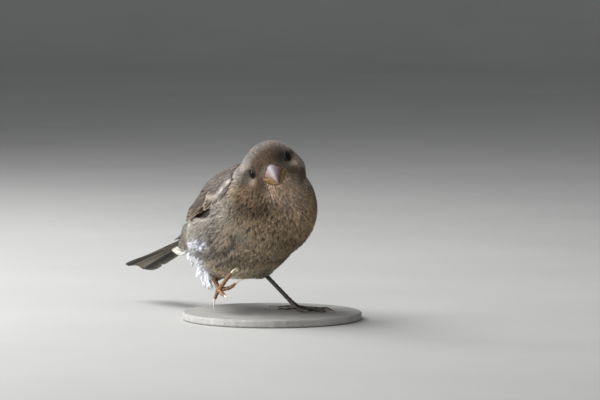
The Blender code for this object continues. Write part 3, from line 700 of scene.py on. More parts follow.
def plumage(name, rough=0.72, vary=0.16, sheen=0.25, barbs=False):
    k = Nodes(name)
    tint = k.add("Attribute", attribute_name="tint").outputs["Color"]
    fleck = k.remap(k.noise(1500, 2.0, 0.6), 0.3, 0.7, 1 - vary, 1 + vary)
    patch = k.remap(k.noise(170, 3.0, 0.5), 0.3, 0.7, 0.93, 1.07)
    col = k.blend("MULTIPLY", 1.0, tint, fleck)
    col = k.blend("MULTIPLY", 1.0, col, patch)
    if barbs:
        at = k.add("Attribute", attribute_name="barb").outputs["Vector"]
        w = k.add("TexWave", wave_type="BANDS", bands_direction="X")
        w.inputs["Scale"].default_value = 1.0
        w.inputs["Distortion"].default_value = 0.8
        w.inputs["Detail"].default_value = 1.0
        k.link(at, w.inputs["Vector"])
        line = w.outputs["Fac"]
        col = k.blend("MULTIPLY", 1.0, col, k.remap(line, 0, 1, 0.94, 1.03))
        n = k.bump(line, 0.30, 0.00004)
        n = k.bump(k.noise(2600, 2.0), 0.25, 0.00004, n)
    else:
        n = k.bump(k.noise(3200, 2.0), 0.35, 0.00006)
    k.link(col, k.b.inputs["Base Color"])
    k.link(n, k.b.inputs["Normal"])
    k.link(k.remap(k.noise(700, 2.0), 0.3, 0.7, rough - 0.08, rough + 0.1), k.b.inputs["Roughness"])
    k.set(Sheen_Weight=sheen, Sheen_Roughness=0.5, Specular_IOR_Level=0.16)
    return k.m


def skin_material():
    k = Nodes("sparrow_skin")
    tint = k.add("Attribute", attribute_name="tint").outputs["Color"]
    col = k.blend("MULTIPLY", 1.0, tint, k.remap(k.noise(420, 4.0), 0.3, 0.7, 0.84, 1.12))
    v = k.add("TexVoronoi", feature="F1")
    v.inputs["Scale"].default_value = 900
    k.link(k.place(), v.inputs["Vector"])
    n = k.bump(v.outputs["Distance"], 0.35, 0.00012)
    k.link(col, k.b.inputs["Base Color"])
    k.link(n, k.b.inputs["Normal"])
    k.link(k.remap(k.noise(900), 0.3, 0.7, 0.6, 0.85), k.b.inputs["Roughness"])
    k.set(Specular_IOR_Level=0.3)
    return k.m


def eye_material():
    k = Nodes("eye_bright")
    at = k.add("Attribute", attribute_name="iris")
    sep = k.add("SeparateXYZ")
    k.link(at.outputs["Vector"], sep.inputs["Vector"])
    r = sep.outputs["X"]                       # 0 on the optic axis
    ring = k.ramp(r, [(0.0, (0.0015, 0.0012, 0.001)), (0.40, (0.002, 0.0015, 0.0012)),
                      (0.50, (0.007, 0.004, 0.0025)), (0.68, (0.010, 0.006, 0.0035)),
                      (0.76, (0.004, 0.003, 0.002)), (1.0, (0.006, 0.005, 0.0045))])
    spokes = k.noise(1.0, 4.0, 0.6, vector=at.outputs["Vector"])
    k.link(k.blend("MULTIPLY", 1.0, ring, k.remap(spokes, 0.3, 0.7, 0.6, 1.5)), k.b.inputs["Base Color"])
    k.link(k.remap(k.noise(500), 0, 1, 0.02, 0.06), k.b.inputs["Roughness"])
    k.set(Specular_IOR_Level=0.20, IOR=1.34)
    return k.m


def bill_material(name, stops, side, rough=0.38, rim_colour=None):
    """Horn of the bill: tint attribute from base to tip, fine growth lines."""
    k = Nodes(name)
    at = k.add("Attribute", attribute_name="along")
    sep = k.add("SeparateXYZ")
    k.link(at.outputs["Vector"], sep.inputs["Vector"])
    cloud = k.noise(260, 4.0, 0.6)
    t = k.add("Math", operation="ADD")
    k.link(sep.outputs["X"], t.inputs[0])
    k.link(k.remap(cloud, 0.3, 0.7, -0.06, 0.06), t.inputs[1])
    col = k.ramp(t.outputs[0], stops)
    s = k.add("Math", operation="MULTIPLY")
    k.link(sep.outputs["Y"], s.inputs[0])
    k.link(k.remap(k.noise(400, 3.0), 0.3, 0.7, 0.65, 1.1), s.inputs[1])
    col = k.blend("MIX", s.outputs[0], col, side)
    deep = k.add("Math", operation="MULTIPLY")
    k.link(k.remap(sep.outputs["X"], 0.02, 0.13, 1.0, 0.0), deep.inputs[0])
    k.link(k.remap(sep.outputs["Y"], 0.15, 0.5, 0.0, 0.75), deep.inputs[1])
    col = k.blend("MIX", deep.outputs[0], col, srgb(170, 84, 60))
    rim = k.add("Math", operation="MULTIPLY")
    if hasattr(side, "shape") and rim_colour is not None:
        up = k.add("Math", operation="ABSOLUTE")
        k.link(sep.outputs["Z"], up.inputs[0])
        k.link(k.remap(up.outputs[0], 0.20, 0.92, 1.0, 0.0), rim.inputs[0])
        k.link(k.remap(k.noise(430, 4.0, 0.65), 0.36, 0.60, 0.25, 1.0), rim.inputs[1])
        col = k.blend("MIX", rim.outputs[0], col, rim_colour)
    col = k.blend("MULTIPLY", 1.0, col, k.remap(k.noise(1400, 3.0), 0.3, 0.7, 0.90, 1.08))
    k.link(col, k.b.inputs["Base Color"])
    w = k.add("TexWave", wave_type="BANDS", bands_direction="X")
    w.inputs["Scale"].default_value = 7.0
    w.inputs["Distortion"].default_value = 2.5
    k.link(at.outputs["Vector"], w.inputs["Vector"])
    n = k.bump(w.outputs["Fac"], 0.12, 0.00005)
    n = k.bump(k.noise(900, 4.0), 0.25, 0.00006, n)
    k.link(n, k.b.inputs["Normal"])
    k.link(k.remap(k.noise(700, 3.0), 0.3, 0.7, rough - 0.1, rough + 0.15), k.b.inputs["Roughness"])
    k.set(Subsurface_Weight=0.12, Subsurface_Scale=0.0008, Specular_IOR_Level=0.35)
    k.b.inputs["Subsurface Radius"].default_value = (1.0, 0.5, 0.3)
    return k.m


def leg_material(name, pale, dark):
    k = Nodes(name)
    tint = k.add("Attribute", attribute_name="tint").outputs["Color"]
    v = k.add("TexVoronoi", feature="DISTANCE_TO_EDGE")
    v.inputs["Scale"].default_value = 3600
    k.link(k.place(), v.inputs["Vector"])
    cell = k.remap(v.outputs["Distance"], 0.0, 0.12, 0.0, 1.0)
    col = k.blend("MIX", k.remap(k.noise(350, 4.0), 0.35, 0.7, 0.0, 0.6), pale, dark)
    col = k.blend("MULTIPLY", 1.0, col, tint)
    col = k.blend("MULTIPLY", 1.0, col, k.remap(cell, 0, 1, 0.93, 1.02))
    k.link(col, k.b.inputs["Base Color"])
    n = k.bump(cell, 0.22, 0.00004)
    n = k.bump(k.noise(3000, 3.0), 0.2, 0.00003, n)
    k.link(n, k.b.inputs["Normal"])
    k.link(k.remap(k.noise(800, 3.0), 0.3, 0.7, 0.42, 0.65), k.b.inputs["Roughness"])
    k.set(Subsurface_Weight=0.10, Subsurface_Scale=0.0006)
    return k.m


def claw_material():
    k = Nodes("claw_horn_fine")
    tint = k.add("Attribute", attribute_name="tint").outputs["Color"]
    col = k.blend("MULTIPLY", 1.0, tint, k.remap(k.noise(900, 4.0), 0.3, 0.7, 0.8, 1.15))
    k.link(col, k.b.inputs["Base Color"])
    k.link(k.bump(k.noise(2500, 3.0), 0.2, 0.00004), k.b.inputs["Normal"])
    k.link(k.remap(k.noise(600), 0.3, 0.7, 0.25, 0.4), k.b.inputs["Roughness"])
    return k.m


def stand_material():
    """Matt grey-white lacquer over a fine-grained turned board."""
    k = Nodes("stand_lacquer")
    grain = k.add("TexNoise")
    grain.inputs["Scale"].default_value = 60
    grain.inputs["Detail"].default_value = 6
    m = k.add("Mapping")
    m.inputs["Scale"].default_value = (1.0, 9.0, 3.0)
    k.link(k.place(), m.inputs["Vector"])
    k.link(m.outputs["Vector"], grain.inputs["Vector"])
    g = grain.outputs["Fac"]
    col = k.ramp(g, [(0.30, (0.27, 0.262, 0.25)), (0.5, (0.315, 0.308, 0.295)), (0.72, (0.36, 0.354, 0.34))])
    col = k.blend("MULTIPLY", 1.0, col, k.remap(k.noise(1800, 2.0), 0.3, 0.7, 0.93, 1.05))
    k.link(col, k.b.inputs["Base Color"])
    n = k.bump(g, 0.12, 0.0002)
    n = k.bump(k.noise(2600, 3.0), 0.3, 0.00005, n)
    k.link(n, k.b.inputs["Normal"])
    k.link(k.remap(k.noise(300, 4.0), 0.3, 0.7, 0.48, 0.66), k.b.inputs["Roughness"])
    return k.m


MAT_SKIN = skin_material()
MAT_HEAD = plumage("plumage_head_fine", 0.80, 0.16, 0.05)
MAT_BODY = plumage("plumage_body_soft", 0.78, 0.16, 0.07)
MAT_VANE = plumage("plumage_vane", 0.66, 0.10, 0.05, barbs=True)


# ----------------------------------------------------------------------- skin
def skin_form(p):
    return body(p) + coat_depth(p)


def build_skin():
    parts_v, parts_q, parts_t, off = [], [], [], 0
    bv, bq, bt = ball_grid(28, 18)

    def add(v):
        nonlocal off
        parts_v.append(v)
        parts_q.append(bq + off)
        parts_t.append(bt + off)
        off += len(v)

    def run(a, b, ra, rb, n):
        for t in np.linspace(0, 1, n):
            add(bv*(ra + (rb - ra)*t) + vec(*a)*(1 - t) + vec(*b)*t)

    run((0.2, -10.5, 41.0), (-0.5, 6, 33.2), 18, 18.3, 4)
    run((-0.5, 8, 33), (0, 27, 28.0), 17.3, 11.0, 6)
    run((0, 27, 28.0), (0, 46, 23.6), 10.0, 3.5, 9)
    run((-0.6, -15.5, 51.5), (1.0, -11.5, 43.0), 10.2, 15.2, 3)
    run(*THIGH_R[:2], 8.6, 2.2, 8)
    run(*THIGH_L[:2], 8.2, 2.2, 7)
    add(bv*vec(13.6, 17, 13.7) + vec(-1, 2, 42.5))
    for s in (1, -1):
        add(bv*vec(8.7, 16, 10.7) + vec(s*9.5, 6, 29.5))
    for c, r in (((0, -3.9, 0.8), (9.4, 10.3, 8.0)), ((0, 4.0, -1.4), (4.9, 5.4, 4.9)),
                 ((0, 0.5, -6.0), (6.0, 7.4, 5.0)), ((5.1, -3.3, -4.6), (6.6, 7.0, 6.3)),
                 ((-5.1, -3.3, -4.6), (6.6, 7.0, 6.3))):
        add(from_head(bv*vec(*r) + vec(*c)))
    o = mesh_object("skin", np.vstack(parts_v), [np.vstack(parts_q), np.vstack(parts_t)])
    o = remeshed(o, 0.95)
    set_coords(o, to_surface(skin_form, coords(o), rounds=6))
    s = o.modifiers.new("soften", "SMOOTH")
    s.iterations = 3
    s.factor = 0.5
    o = baked(o)
    set_coords(o, to_surface(skin_form, coords(o), rounds=5))
    # finer over the face
    bm = bmesh.new()
    bm.from_mesh(o.data)
    for rounds in range(1):
        c = np.array([e.verts[0].co + e.verts[1].co for e in bm.edges])/2/MM - SHIFT
        q = to_head(c)
        near = np.linalg.norm(q - vec(0, 3, -1), axis=-1) < 10.5
        edges = [e for e, k in zip(bm.edges, near) if k]
        bmesh.ops.subdivide_edges(bm, edges=edges, cuts=1, use_grid_fill=True)
    bmesh.ops.triangulate(bm, faces=[f for f in bm.faces if len(f.verts) > 4])
    bm.to_mesh(o.data)
    bm.free()
    p = to_surface(skin_form, coords(o), rounds=5)
    set_coords(o, p)
    o.data.shade_smooth()
    return o


def bill_clear(q):
    """Rough distance outside the root of the bill."""
    t = np.clip((q[..., 1] - BILL_BASE)/12.0, -0.3, 1)
    mid = np.stack([0*t, q[..., 1], -2.0 - 1.9*t], -1)
    d = (q - mid)/vec(1.0, 1.0, 1.0)
    wide = np.where(d[..., 2] > 0.3, BILL_W, BILL_W_LOW + 0.7*np.exp(-((t - 0.1)/0.2)**2))
    tall = np.where(d[..., 2] > 0, CULMEN_H, GONYS_H)*0.94
    return np.where(q[..., 1] > 5.6, (np.hypot(d[..., 0]/wide, d[..., 2]/tall) - 1)*3.6, 9.0)


def lid_mesh():
    """Both pairs of lids: a bare almond rim round each eye, with the fold of
    skin behind it."""
    vs, qs, off = [], [], 0
    nphi = 72
    for s in (1, -1):
        look = eye_look(s)
        fwd = unit(vec(0, 1, 0) - look*look[1])           # towards the bill
        up = np.cross(look, fwd)*(-1 if s > 0 else 1)
        up = up if up[2] > 0 else -up
        phi = np.linspace(0, 2*pi, nphi, endpoint=False)
        # aperture, as an angle from the look axis: longer fore and aft
        horiz, vert = np.abs(np.cos(phi)), np.sin(phi)
        ap = 42.0 + 3.0*horiz**2.2 - 7.0*np.clip(vert, 0, 1)**2 - 5.0*np.clip(-vert, 0, 1)**2
        ring = []
        # (degrees outward of the rim, distance from the eye's centre)
        for da, r in ((0.8, 2.96), (-0.8, 3.03), (-0.6, 3.11), (0.6, 3.17), (2.2, 3.16), (3.4, 3.11),
                      (5.0, 3.15), (7.0, 3.15), (9.5, 3.06), (13.0, 2.90), (14.0, 2.70), (5.0, 2.72)):
            r = r + 0.022*np.sin(30*phi)*(3.0 < r < 3.18)          # a beaded rim
            a = np.radians(ap + da)
            d = (look[None]*np.cos(a)[:, None] + (fwd[None]*np.cos(phi)[:, None]
                 + up[None]*np.sin(phi)[:, None])*np.sin(a)[:, None])
            ring.append(eye_at(s) + d*np.reshape(r, (-1, 1)))
        ring = np.array(ring)                            # k x phi x 3
        k = len(ring)
        v = from_head(ring.reshape(-1, 3))
        i = np.arange(nphi)
        j = (i + 1) % nphi
        for a in range(k):
            b = (a + 1) % k
            qs.append(np.stack([a*nphi + i, a*nphi + j, b*nphi + j, b*nphi + i], -1) + off)
        vs.append(v)
        off += len(v)
    return np.vstack(vs), np.vstack(qs)


skin = build_skin()
lv, lq = lid_mesh()
lids = mesh_object("lids", lv, lq)
orient(lids)
for o in (skin, lids):
    p = coords(o)
    q = to_head(p)
    if o is lids:
        d = np.minimum(np.linalg.norm(q - eye_at(1), axis=-1), np.linalg.norm(q - eye_at(-1), axis=-1))
        c = np.broadcast_to(srgb(42, 36, 32), p.shape)*(1 + 0.12*wander(p, 0.9))[:, None]
    else:
        c = mix(markings(p), DOWN, 0.45)
        # painted shadow: the skin under the folded wing is painted dark brown for the shade in the gap beneath the wing
        c = mix(c, srgb(48, 40, 34), wing_mask(p))
        ring = np.minimum(np.linalg.norm(q - eye_at(1) - eye_look(1)*2.2, axis=-1),
                          np.linalg.norm(q - eye_at(-1) - eye_look(-1)*2.2, axis=-1))
        c = mix(c, srgb(74, 64, 57), smoothstep(-ring, -3.9, -2.8)*0.9)
        c = mix(c, srgb(84, 66, 52), 0.85*smoothstep(-bill_clear(q), -2.2, -0.8)*smoothstep(q[..., 1], 4.5, 6))
    set_tint(o, c)
    o.data.materials.clear()
    o.data.materials.append(MAT_SKIN)
for o in bpy.context.selected_objects:
    o.select_set(False)
with bpy.context.temp_override(active_object=skin, selected_editable_objects=[skin, lids],
                               selected_objects=[skin, lids], object=skin):
    bpy.ops.object.join()
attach(skin, "root")
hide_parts("head", "neck", "trunk", "thigh_left", "thigh_right")


# ------------------------------------------------------------- lie of the coat
TAIL_WAY = vec(0, cos(radians(TAIL_SLOPE)), -sin(radians(TAIL_SLOPE)))


def lie(p, n):
    """Unit direction of the feathers at p on a surface of normal n."""
    q = to_head(p)
    hd = unit(q - vec(0, 9.0, -1.8)) @ HEAD
    y = p[..., 1]
    back = smoothstep(y, -16, 14)[..., None]
    td = vec(0, 0.45, -0.89)*(1 - back) + vec(0, 0.95, -0.30)*back
    w = 1 - smoothstep(np.linalg.norm(q - vec(0, -2, -2), axis=-1), 12.0, 21.0)
    d = hd*w[..., None] + td*(1 - w[..., None])
    d = mix(d, vec(0, 0.94, -0.33), smoothstep(y, 34, 44))
    for a, b, ra, rb in (THIGH_R, THIGH_L):
        a, b = vec(*a), vec(*b)
        way = unit(b - a)
        t = ((p - a) @ (b - a))/((b - a) @ (b - a))
        c = a + (b - a)*np.clip(t, 0, 1)[..., None]
        dist = np.linalg.norm(p - c, axis=-1) - (ra + (rb - ra)*np.clip(t, 0, 1))
        d = d + way*(2.5*np.exp(-np.maximum(dist, 0)**2/3)*smoothstep(t, 0.35, 0.8))[..., None]
    # round the eyes
    for s in (1, -1):
        look = eye_look(s)
        e = q - eye_at(s)
        e = e - look*(e @ look)[..., None]
        r = np.linalg.norm(e, axis=-1)
        eh = (e/np.maximum(r, 1e-6)[..., None]) @ HEAD
        inward = np.minimum((d*eh).sum(-1), 0)
        front = ((q - eye_at(s)) @ look) > 0
        k = np.where(front, smoothstep(-r, -5.0, -3.2), 0)
        d = d - eh*(inward*k)[..., None] + eh*(0.12*k)[..., None]
    d = d + 0.10*np.stack([wander(p, 11), wander(p[..., [1, 2, 0]], 11), wander(p[..., [2, 0, 1]], 11)], -1)
    d = d - n*(d*n).sum(-1, keepdims=True)
    return unit(d)


def eye_clear(p):
    """Distance from the nearer eye's look axis, counted only in front."""
    q = to_head(p)
    r = np.full(q.shape[:-1], 99.0)
    for s in (1, -1):
        look = eye_look(s)
        e = q - eye_at(s)
        a = e @ look
        fwd = unit(vec(0, 1, 0) - look*look[1])
        rr = np.linalg.norm(e - look*a[..., None], axis=-1)
        rise = e @ np.cross(look, fwd)                    # the lids are lower than they are long
        rr = np.sqrt(rr**2 + 0.30*rise**2)
        r = np.where(a > 0.2, np.minimum(r, rr), r)
    return r


def length_at(p):
    q = to_head(p)
    h = head_weight(p)
    L = 2.4 + 0*h
    L = mix(L, 2.9, smoothstep(-p[..., 2], -32, -24))
    L = mix(L, 4.3, smoothstep(np.abs(p[..., 0]), 14, 19)*smoothstep(p[..., 1], -8, 2))
    L = mix(L, 4.6, smoothstep(p[..., 1], 14, 26))
    L = mix(L, 2.5, np.clip(blob(q, (0, 3, -14), (10, 8, 7))*1.4, 0, 1))
    near = np.linalg.norm(q - vec(0, 8, -1), axis=-1)
    Lh = np.interp(near, [2, 5, 9, 14, 20], [0.75, 0.95, 1.45, 2.1, 2.6])
    e = eye_clear(p)
    Lh = np.minimum(Lh, np.interp(e, [2.3, 3.0, 4.4, 7.0], [0.46, 0.62, 1.0, 1.9]))
    L = mix(L, Lh, h)
    return mix(L, 1.9, thigh_weight(p)*0.9)


def spacing(L):
    return 0.17*L + 0.13


def scatter():
    """Feather roots, spread evenly at a spacing that follows their length."""
    me = skin.data
    me.calc_loop_triangles()
    tri = np.zeros(len(me.loop_triangles)*3, np.int32)
    me.loop_triangles.foreach_get("vertices", tri)
    tri = tri.reshape(-1, 3)
    v = coords(skin)
    a, b, c = v[tri[:, 0]], v[tri[:, 1]], v[tri[:, 2]]
    area = np.linalg.norm(np.cross(b - a, c - a), axis=1)/2
    mid = (a + b + c)/3
    want = spacing(length_at(mid))
    dens = area/want**2
    ncand = int(dens.sum()*3.2)
    pick = RNG.choice(len(tri), ncand, p=dens/dens.sum())
    r1, r2 = RNG.random(ncand), RNG.random(ncand)
    s = np.sqrt(r1)
    p = a[pick]*(1 - s)[:, None] + b[pick]*(s*(1 - r2))[:, None] + c[pick]*(s*r2)[:, None]
    p = to_surface(body_full, p, rounds=6)
    q = to_head(p)
    L = length_at(p)
    low_edge = (p[:, 1] > 4) & (wing_angle(p) > 60)
    keep = (eye_clear(p) > 2.30) & (bill_clear(q) > -0.45) & (p[:, 1] < 46.5)
    u = np.clip((p[:, 1] - WING_FRONT)/(WING_BACK - WING_FRONT), 0, 1)
    up, lo = wing_edges(u)
    inner = (wing_angle(p) - up)/(lo - up) < np.clip((p[:, 1] - 22)/16, 0, 1)*0.55 + 0.04
    inner &= p[:, 1] > 8
    keep &= wing_mask(p) < np.where(inner, 2.0, np.where(low_edge, 0.97, 0.5))
    for toes, ankle in ((TOES_L, ANKLE_L), (TOES_R, ANKLE_R)):
        w = unit(vec(*toes) - vec(*ankle))
        d = p - vec(*ankle)
        along = d @ w
        keep &= ~((np.linalg.norm(d - w*along[:, None], axis=1) < 1.25) & (along > -1.0))
    p, L = p[keep], L[keep]
    want = spacing(L)
    cell = 0.7
    grid, got = {}, []
    key = np.floor(p/cell).astype(int)
    pl = p.tolist()
    for i in range(len(p)):
        r = want[i]
        reach = int(r/cell) + 1
        kx, ky, kz = key[i]
        ok = True
        px, py, pz = pl[i]
        for dx in range(-reach, reach + 1):
            for dy in range(-reach, reach + 1):
                for dz in range(-reach, reach + 1):
                    for j in grid.get((kx + dx, ky + dy, kz + dz), ()):
                        ax, ay, az = pl[j]
                        if (ax-px)**2 + (ay-py)**2 + (az-pz)**2 < r*r:
                            ok = False
                            break
                    if not ok:
                        break
                if not ok:
                    break
            if not ok:
                break
        if ok:
            grid.setdefault((kx, ky, kz), []).append(i)
            got.append(i)
    return p[got], L[got]


# ------------------------------------------------------------ contour feathers
K = 5                                        # stations along a feather's path


def flow_path(p, L, form=body_full):
    """Centre line, side and normal of each feather, following the lie."""
    P, S, N = [], [], []
    n = unit(gradient(form, p))
    t = lie(p, n)
    for k in range(K + 1):
        P.append(p)
        N.append(n)
        S.append(unit(np.cross(t, n)))
        step = p + t*(L/K)[:, None]
        for _ in range(2):
            g = gradient(form, step)
            step = step - g*(form(step)/np.maximum((g*g).sum(-1), 0.2))[:, None]
        n2 = unit(gradient(form, step))
        t2 = lie(step, n2)
        t = unit(0.55*t + 0.45*t2)
        t = unit(t - n2*(t*n2).sum(-1, keepdims=True))
        p, n = step, n2
    return np.array(P), np.array(S), np.array(N)      # (K+1, n, 3)


def feathers(name, root, L, colours, nb, wide=0.30, thick=0.035, lift=0.05, splay=1.0,
             barb_w=0.075, fine=False, mat=MAT_BODY, slot="plumage_body", spread=1.0, seed=1,
             depth=None, twist=0.16, form=body_full, spike=False, path=None, droop=0.10, roll=0.35, fan=108, barb=0.46):
    """Feathers as fans of thin barbs round a shaft, every barb a closed sliver.

    colours: dict of (n, 3) arrays - down, body, edge, shaft."""
    rng = np.random.default_rng(seed)
    n = len(root)
    P, S, N = flow_path(root, L, form) if path is None else path
    D = (coat_depth(root) + WING_BED*wing_mask(root) if depth is None else depth + 0*L)*0.85
    lift = np.broadcast_to(lift, (n,))*L*rng.uniform(0.2, 1.8, n)
    turn = rng.normal(0, twist, n)                    # each feather leans a little
    W = wide*L*rng.uniform(0.85, 1.15, n)
    # barbs: tips spread over a rounded outline, the first is the shaft
    psi = np.linspace(-fan, fan, nb - 1)[None] + rng.normal(0, 5, (n, nb - 1))
    psi = np.radians(np.concatenate([np.zeros((n, 1)), psi], 1))
    long = rng.uniform(0.84, 1.10, (n, nb))
    s1 = 0.60 + 0.40*np.cos(psi)*long
    t1 = np.sin(psi)*splay*long
    s0 = np.maximum(s1 - barb, 0.04)
    s0[:, 0] = 0.0
    if spike:
        taus, wid = (0.0, 1.0), (1.0,)
    elif fine:
        taus, wid = (0.0, 0.55, 1.0), (0.7, 1.0)
    else:
        taus, wid = (0.0, 0.42, 0.80, 1.0), (0.55, 1.0, 0.62)
    jit = rng.normal(0, 1, (n, nb))
    bw = barb_w*L[:, None]*rng.uniform(0.8, 1.2, (n, nb))
    bw[:, 0] *= 0.8
    k_index = np.arange(n)[:, None]

    def at(s, t, h):
        """Points of the feathers at s along, t across (in widths), h up."""
        x = np.clip(s, 0, 1.12)*K
        i = np.minimum(x.astype(int), K - 1)
        f = (x - i)[..., None]
        idx = np.broadcast_to(k_index, s.shape)
        a, b = P[i, idx], P[i + 1, idx]
        sa = S[i, idx]*(1 - f) + S[i + 1, idx]*f
        na = N[i, idx]*(1 - f) + N[i + 1, idx]*f
        off = t*W[:, None] + turn[:, None]*s*L[:, None]
        return a*(1 - f) + b*f + sa*off[..., None] + na*h[..., None], sa, na

    def height(s, t, j):
        up = -D[:, None]*np.clip(1 - s, 0, 1)**1.35
        return up + lift[:, None]*np.clip(s, 0, 1.1)**2 - droop*W[:, None]*t*t + j*0.016*L[:, None]*s

    pts, ss, tt = [], [], []
    for tau in taus:
        s = s0 + (s1 - s0)*tau
        t = t1*tau**1.2
        c, sa, na = at(s, t, height(s, t, jit))
        pts.append(c)
        ss.append(s)
        tt.append(t)
    rings = []
    for r in range(len(taus) - 1):
        d = unit(pts[r + 1] - pts[r] if r == 0 else pts[r + 1] - pts[r - 1])
        _, sa, na = at(ss[r], tt[r], 0*ss[r])
        b = unit(np.cross(d, na))
        # barbs roll a little round their own length
        turn_ = roll*jit[..., None]
        b2 = b*np.cos(turn_) + na*np.sin(turn_)
        w = (bw*wid[r]/2)[..., None]
        th = np.maximum(thick, 0.20*bw)[..., None]*0.6
        rings.append(np.stack([pts[r] - b2*w, pts[r] + b2*w, pts[r] + na*th], 2))
    nr = len(rings)
    V = np.concatenate([np.stack(rings, 2).reshape(n, nb, nr*3, 3), pts[-1][:, :, None]], 2)
    vs_s = np.concatenate([np.repeat(ss[r][..., None], 3, -1) for r in range(nr)] + [ss[-1][..., None]], -1)
    vs_t = np.concatenate([np.repeat(tt[r][..., None], 3, -1) for r in range(nr)] + [tt[-1][..., None]], -1)
    f = [(0, 1, 2)]
    for r in range(nr - 1):
        a = 3*r
        for i in range(3):
            j = (i + 1) % 3
            f += [(a + i, a + 3 + i, a + 3 + j), (a + i, a + 3 + j, a + j)]
    a = 3*(nr - 1)
    for i in range(3):
        f.append((a + i, 3*nr, a + (i + 1) % 3))
    f = np.array(f)
    m = nr*3 + 1
    # outward order: test on one barb
    v = V.reshape(-1, m, 3)[:200]
    vol = (v[:, f[:, 0]]*np.cross(v[:, f[:, 1]], v[:, f[:, 2]])).sum(-1)
    c0 = v.mean(1, keepdims=True)
    vv = v - c0
    vol = (vv[:, f[:, 0]]*np.cross(vv[:, f[:, 1]], vv[:, f[:, 2]])).sum(-1).sum(-1)
    if np.median(vol) < 0:
        f = f[:, ::-1]
    F = (f[None] + (np.arange(n*nb)*m)[:, None, None]).reshape(-1, 3)
    # colour: dark down at the root, body, paler edge and tip, darker shaft
    s, t = vs_s, np.abs(vs_t)
    one = lambda k: colours[k][:, None, None, :]
    col = mix(one("down")*np.ones((1, nb, m, 1)), one("body"), smoothstep(s, 0.22, 0.62))
    col = mix(col, one("edge"), 0.75*smoothstep(np.maximum(t, (s - 0.55)*2), 0.55, 0.95))
    streak = np.exp(-(t/0.28)**2)*smoothstep(s, 0.3, 0.6)*(1 - smoothstep(s, 0.80, 0.98))
    col = mix(col, one("shaft"), colours["streak"][:, None, None]*streak)
    col = col*rng.uniform(0.93, 1.07, (n, 1, 1, 1))*rng.uniform(0.86, 1.14, (n, nb, 1, 1))
    # root place on the skin's unwrap, a patch 0.003 across for each feather
    uv0 = skin_uv(root)
    uv = uv0[:, None, None] + 0.003*np.stack([np.clip(vs_t, -1.2, 1.2)*0.42, np.clip(vs_s, 0, 1.1) - 0.5], -1)
    per = nb*len(f)
    made = []
    step = max(1, int(186000//per))
    parts = int(np.ceil(n/step))
    step = int(np.ceil(n/parts))
    vper = nb*m
    for i in range(parts):
        a, b = i*step, min((i + 1)*step, n)
        nm = name if parts == 1 else "%s_%d" % (name, i + 1)
        o = mesh_object(nm, V[a:b].reshape(-1, 3), F[:(b - a)*nb*len(f)], True, mat)
        set_tint(o, col[a:b].reshape(-1, 3))
        set_uv(o, uv[a:b].reshape(-1, 2))
        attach(o, "root")
        made.append(o)
    return made


roots, lengths = scatter()
order = np.argsort(roots[:, 1] + 0.02*roots[:, 2])
roots, lengths = roots[order], lengths[order]
rq = to_head(roots)
hw = head_weight(roots)
is_head = hw > 0.5


def coat_colours(p, rng, streaky=0.0, fleck=0.0):
    """Colours of feathers rooted at p; fleck mottles them feather by feather."""
    m = markings(p)
    n = len(p)
    u = rng.random(n)
    f = np.where(u < 0.20, rng.uniform(0.22, 0.52, n), np.where(u > 0.78, rng.uniform(1.25, 1.65, n),
                                                                 rng.uniform(0.82, 1.16, n)))
    m = m*(1 + (f - 1)*fleck)[:, None]
    return {"body": m,
            "edge": np.clip(m*1.18 + 0.02, 0, 0.92),
            "down": mix(m*0.85, DOWN, 0.5*(1 - smoothstep(m.mean(-1), 0.35, 0.75))),
            "shaft": m*0.30,
            "streak": np.clip(streaky + rng.uniform(-0.25, 0.25, n), 0, 1)}


def mottled(p):
    """How flecked the plumage is: most on breast and belly, least on smooth lobes."""
    q = to_head(p)
    f = mix(np.full(len(p), 1.0), 0.45, head_weight(p))
    f = mix(f, 0.75, np.clip(1.3*blob(q, (0.4, 5.0, 5.6), (6, 5, 4)), 0, 1))
    f = mix(f, 0.4, smoothstep(p[:, 1], 0, 8))
    for s in (1, -1):
        f = mix(f, 0.55, blob(p, (s*18.5, -7, 44), (6, 8, 9)))
        f = mix(f, 0.10, np.clip(1.4*stroke(p, (s*18.7, -9.5, 34.6), (s*18.0, -7.5, 29.4), 3.2), 0, 1))
        f = mix(f, 0.10, np.clip(1.4*stroke(p, (s*15.6, -10.0, 26.2), (s*16.9, -2.6, 21.6), 2.9), 0, 1))
        f = mix(f, 0.15, np.clip(1.3*stroke(p, (s*20.5, -1, 38), (s*22.0, 8, 33), 5.0), 0, 1))
    f = mix(f, 0.3, 0.9*blob(q, (-2.6, 7.4, -11.0), (2.6, 4.0, 5.4)))
    return f


def streakiness(p):
    """Dark feather centres: strong on the mantle, faint on breast and crown."""
    y, z = p[:, 1], p[:, 2]
    mantle = smoothstep(z - axis_z(y), 9, 14)*smoothstep(y, -16, -6)*smoothstep(-y, -26, -14)
    return np.clip(0.12 + 0.75*mantle - 0.12*smoothstep(-z, -30, -20), 0, 1)*(1 - 0.55*head_weight(p))


rngc = np.random.default_rng(77)
cols = coat_colours(roots, rngc, streakiness(roots), mottled(roots))
y, z = roots[:, 1], roots[:, 2]
group = np.full(len(roots), "belly", object)
group[(z > 33) & (y < -2)] = "breast"
group[(np.abs(roots[:, 0]) > 12) & (y >= -2) & (y < 24) & (z < axis_z(y) + 8)] = "flank"
group[(z - axis_z(y) > 8) & (y >= -8)] = "mantle"
group[(y >= 20)] = "rump"
group[thigh_weight(roots) > 0.5] = "thigh"
group[is_head] = "head"
face = is_head & (lengths < 1.25)
group[face] = "face"

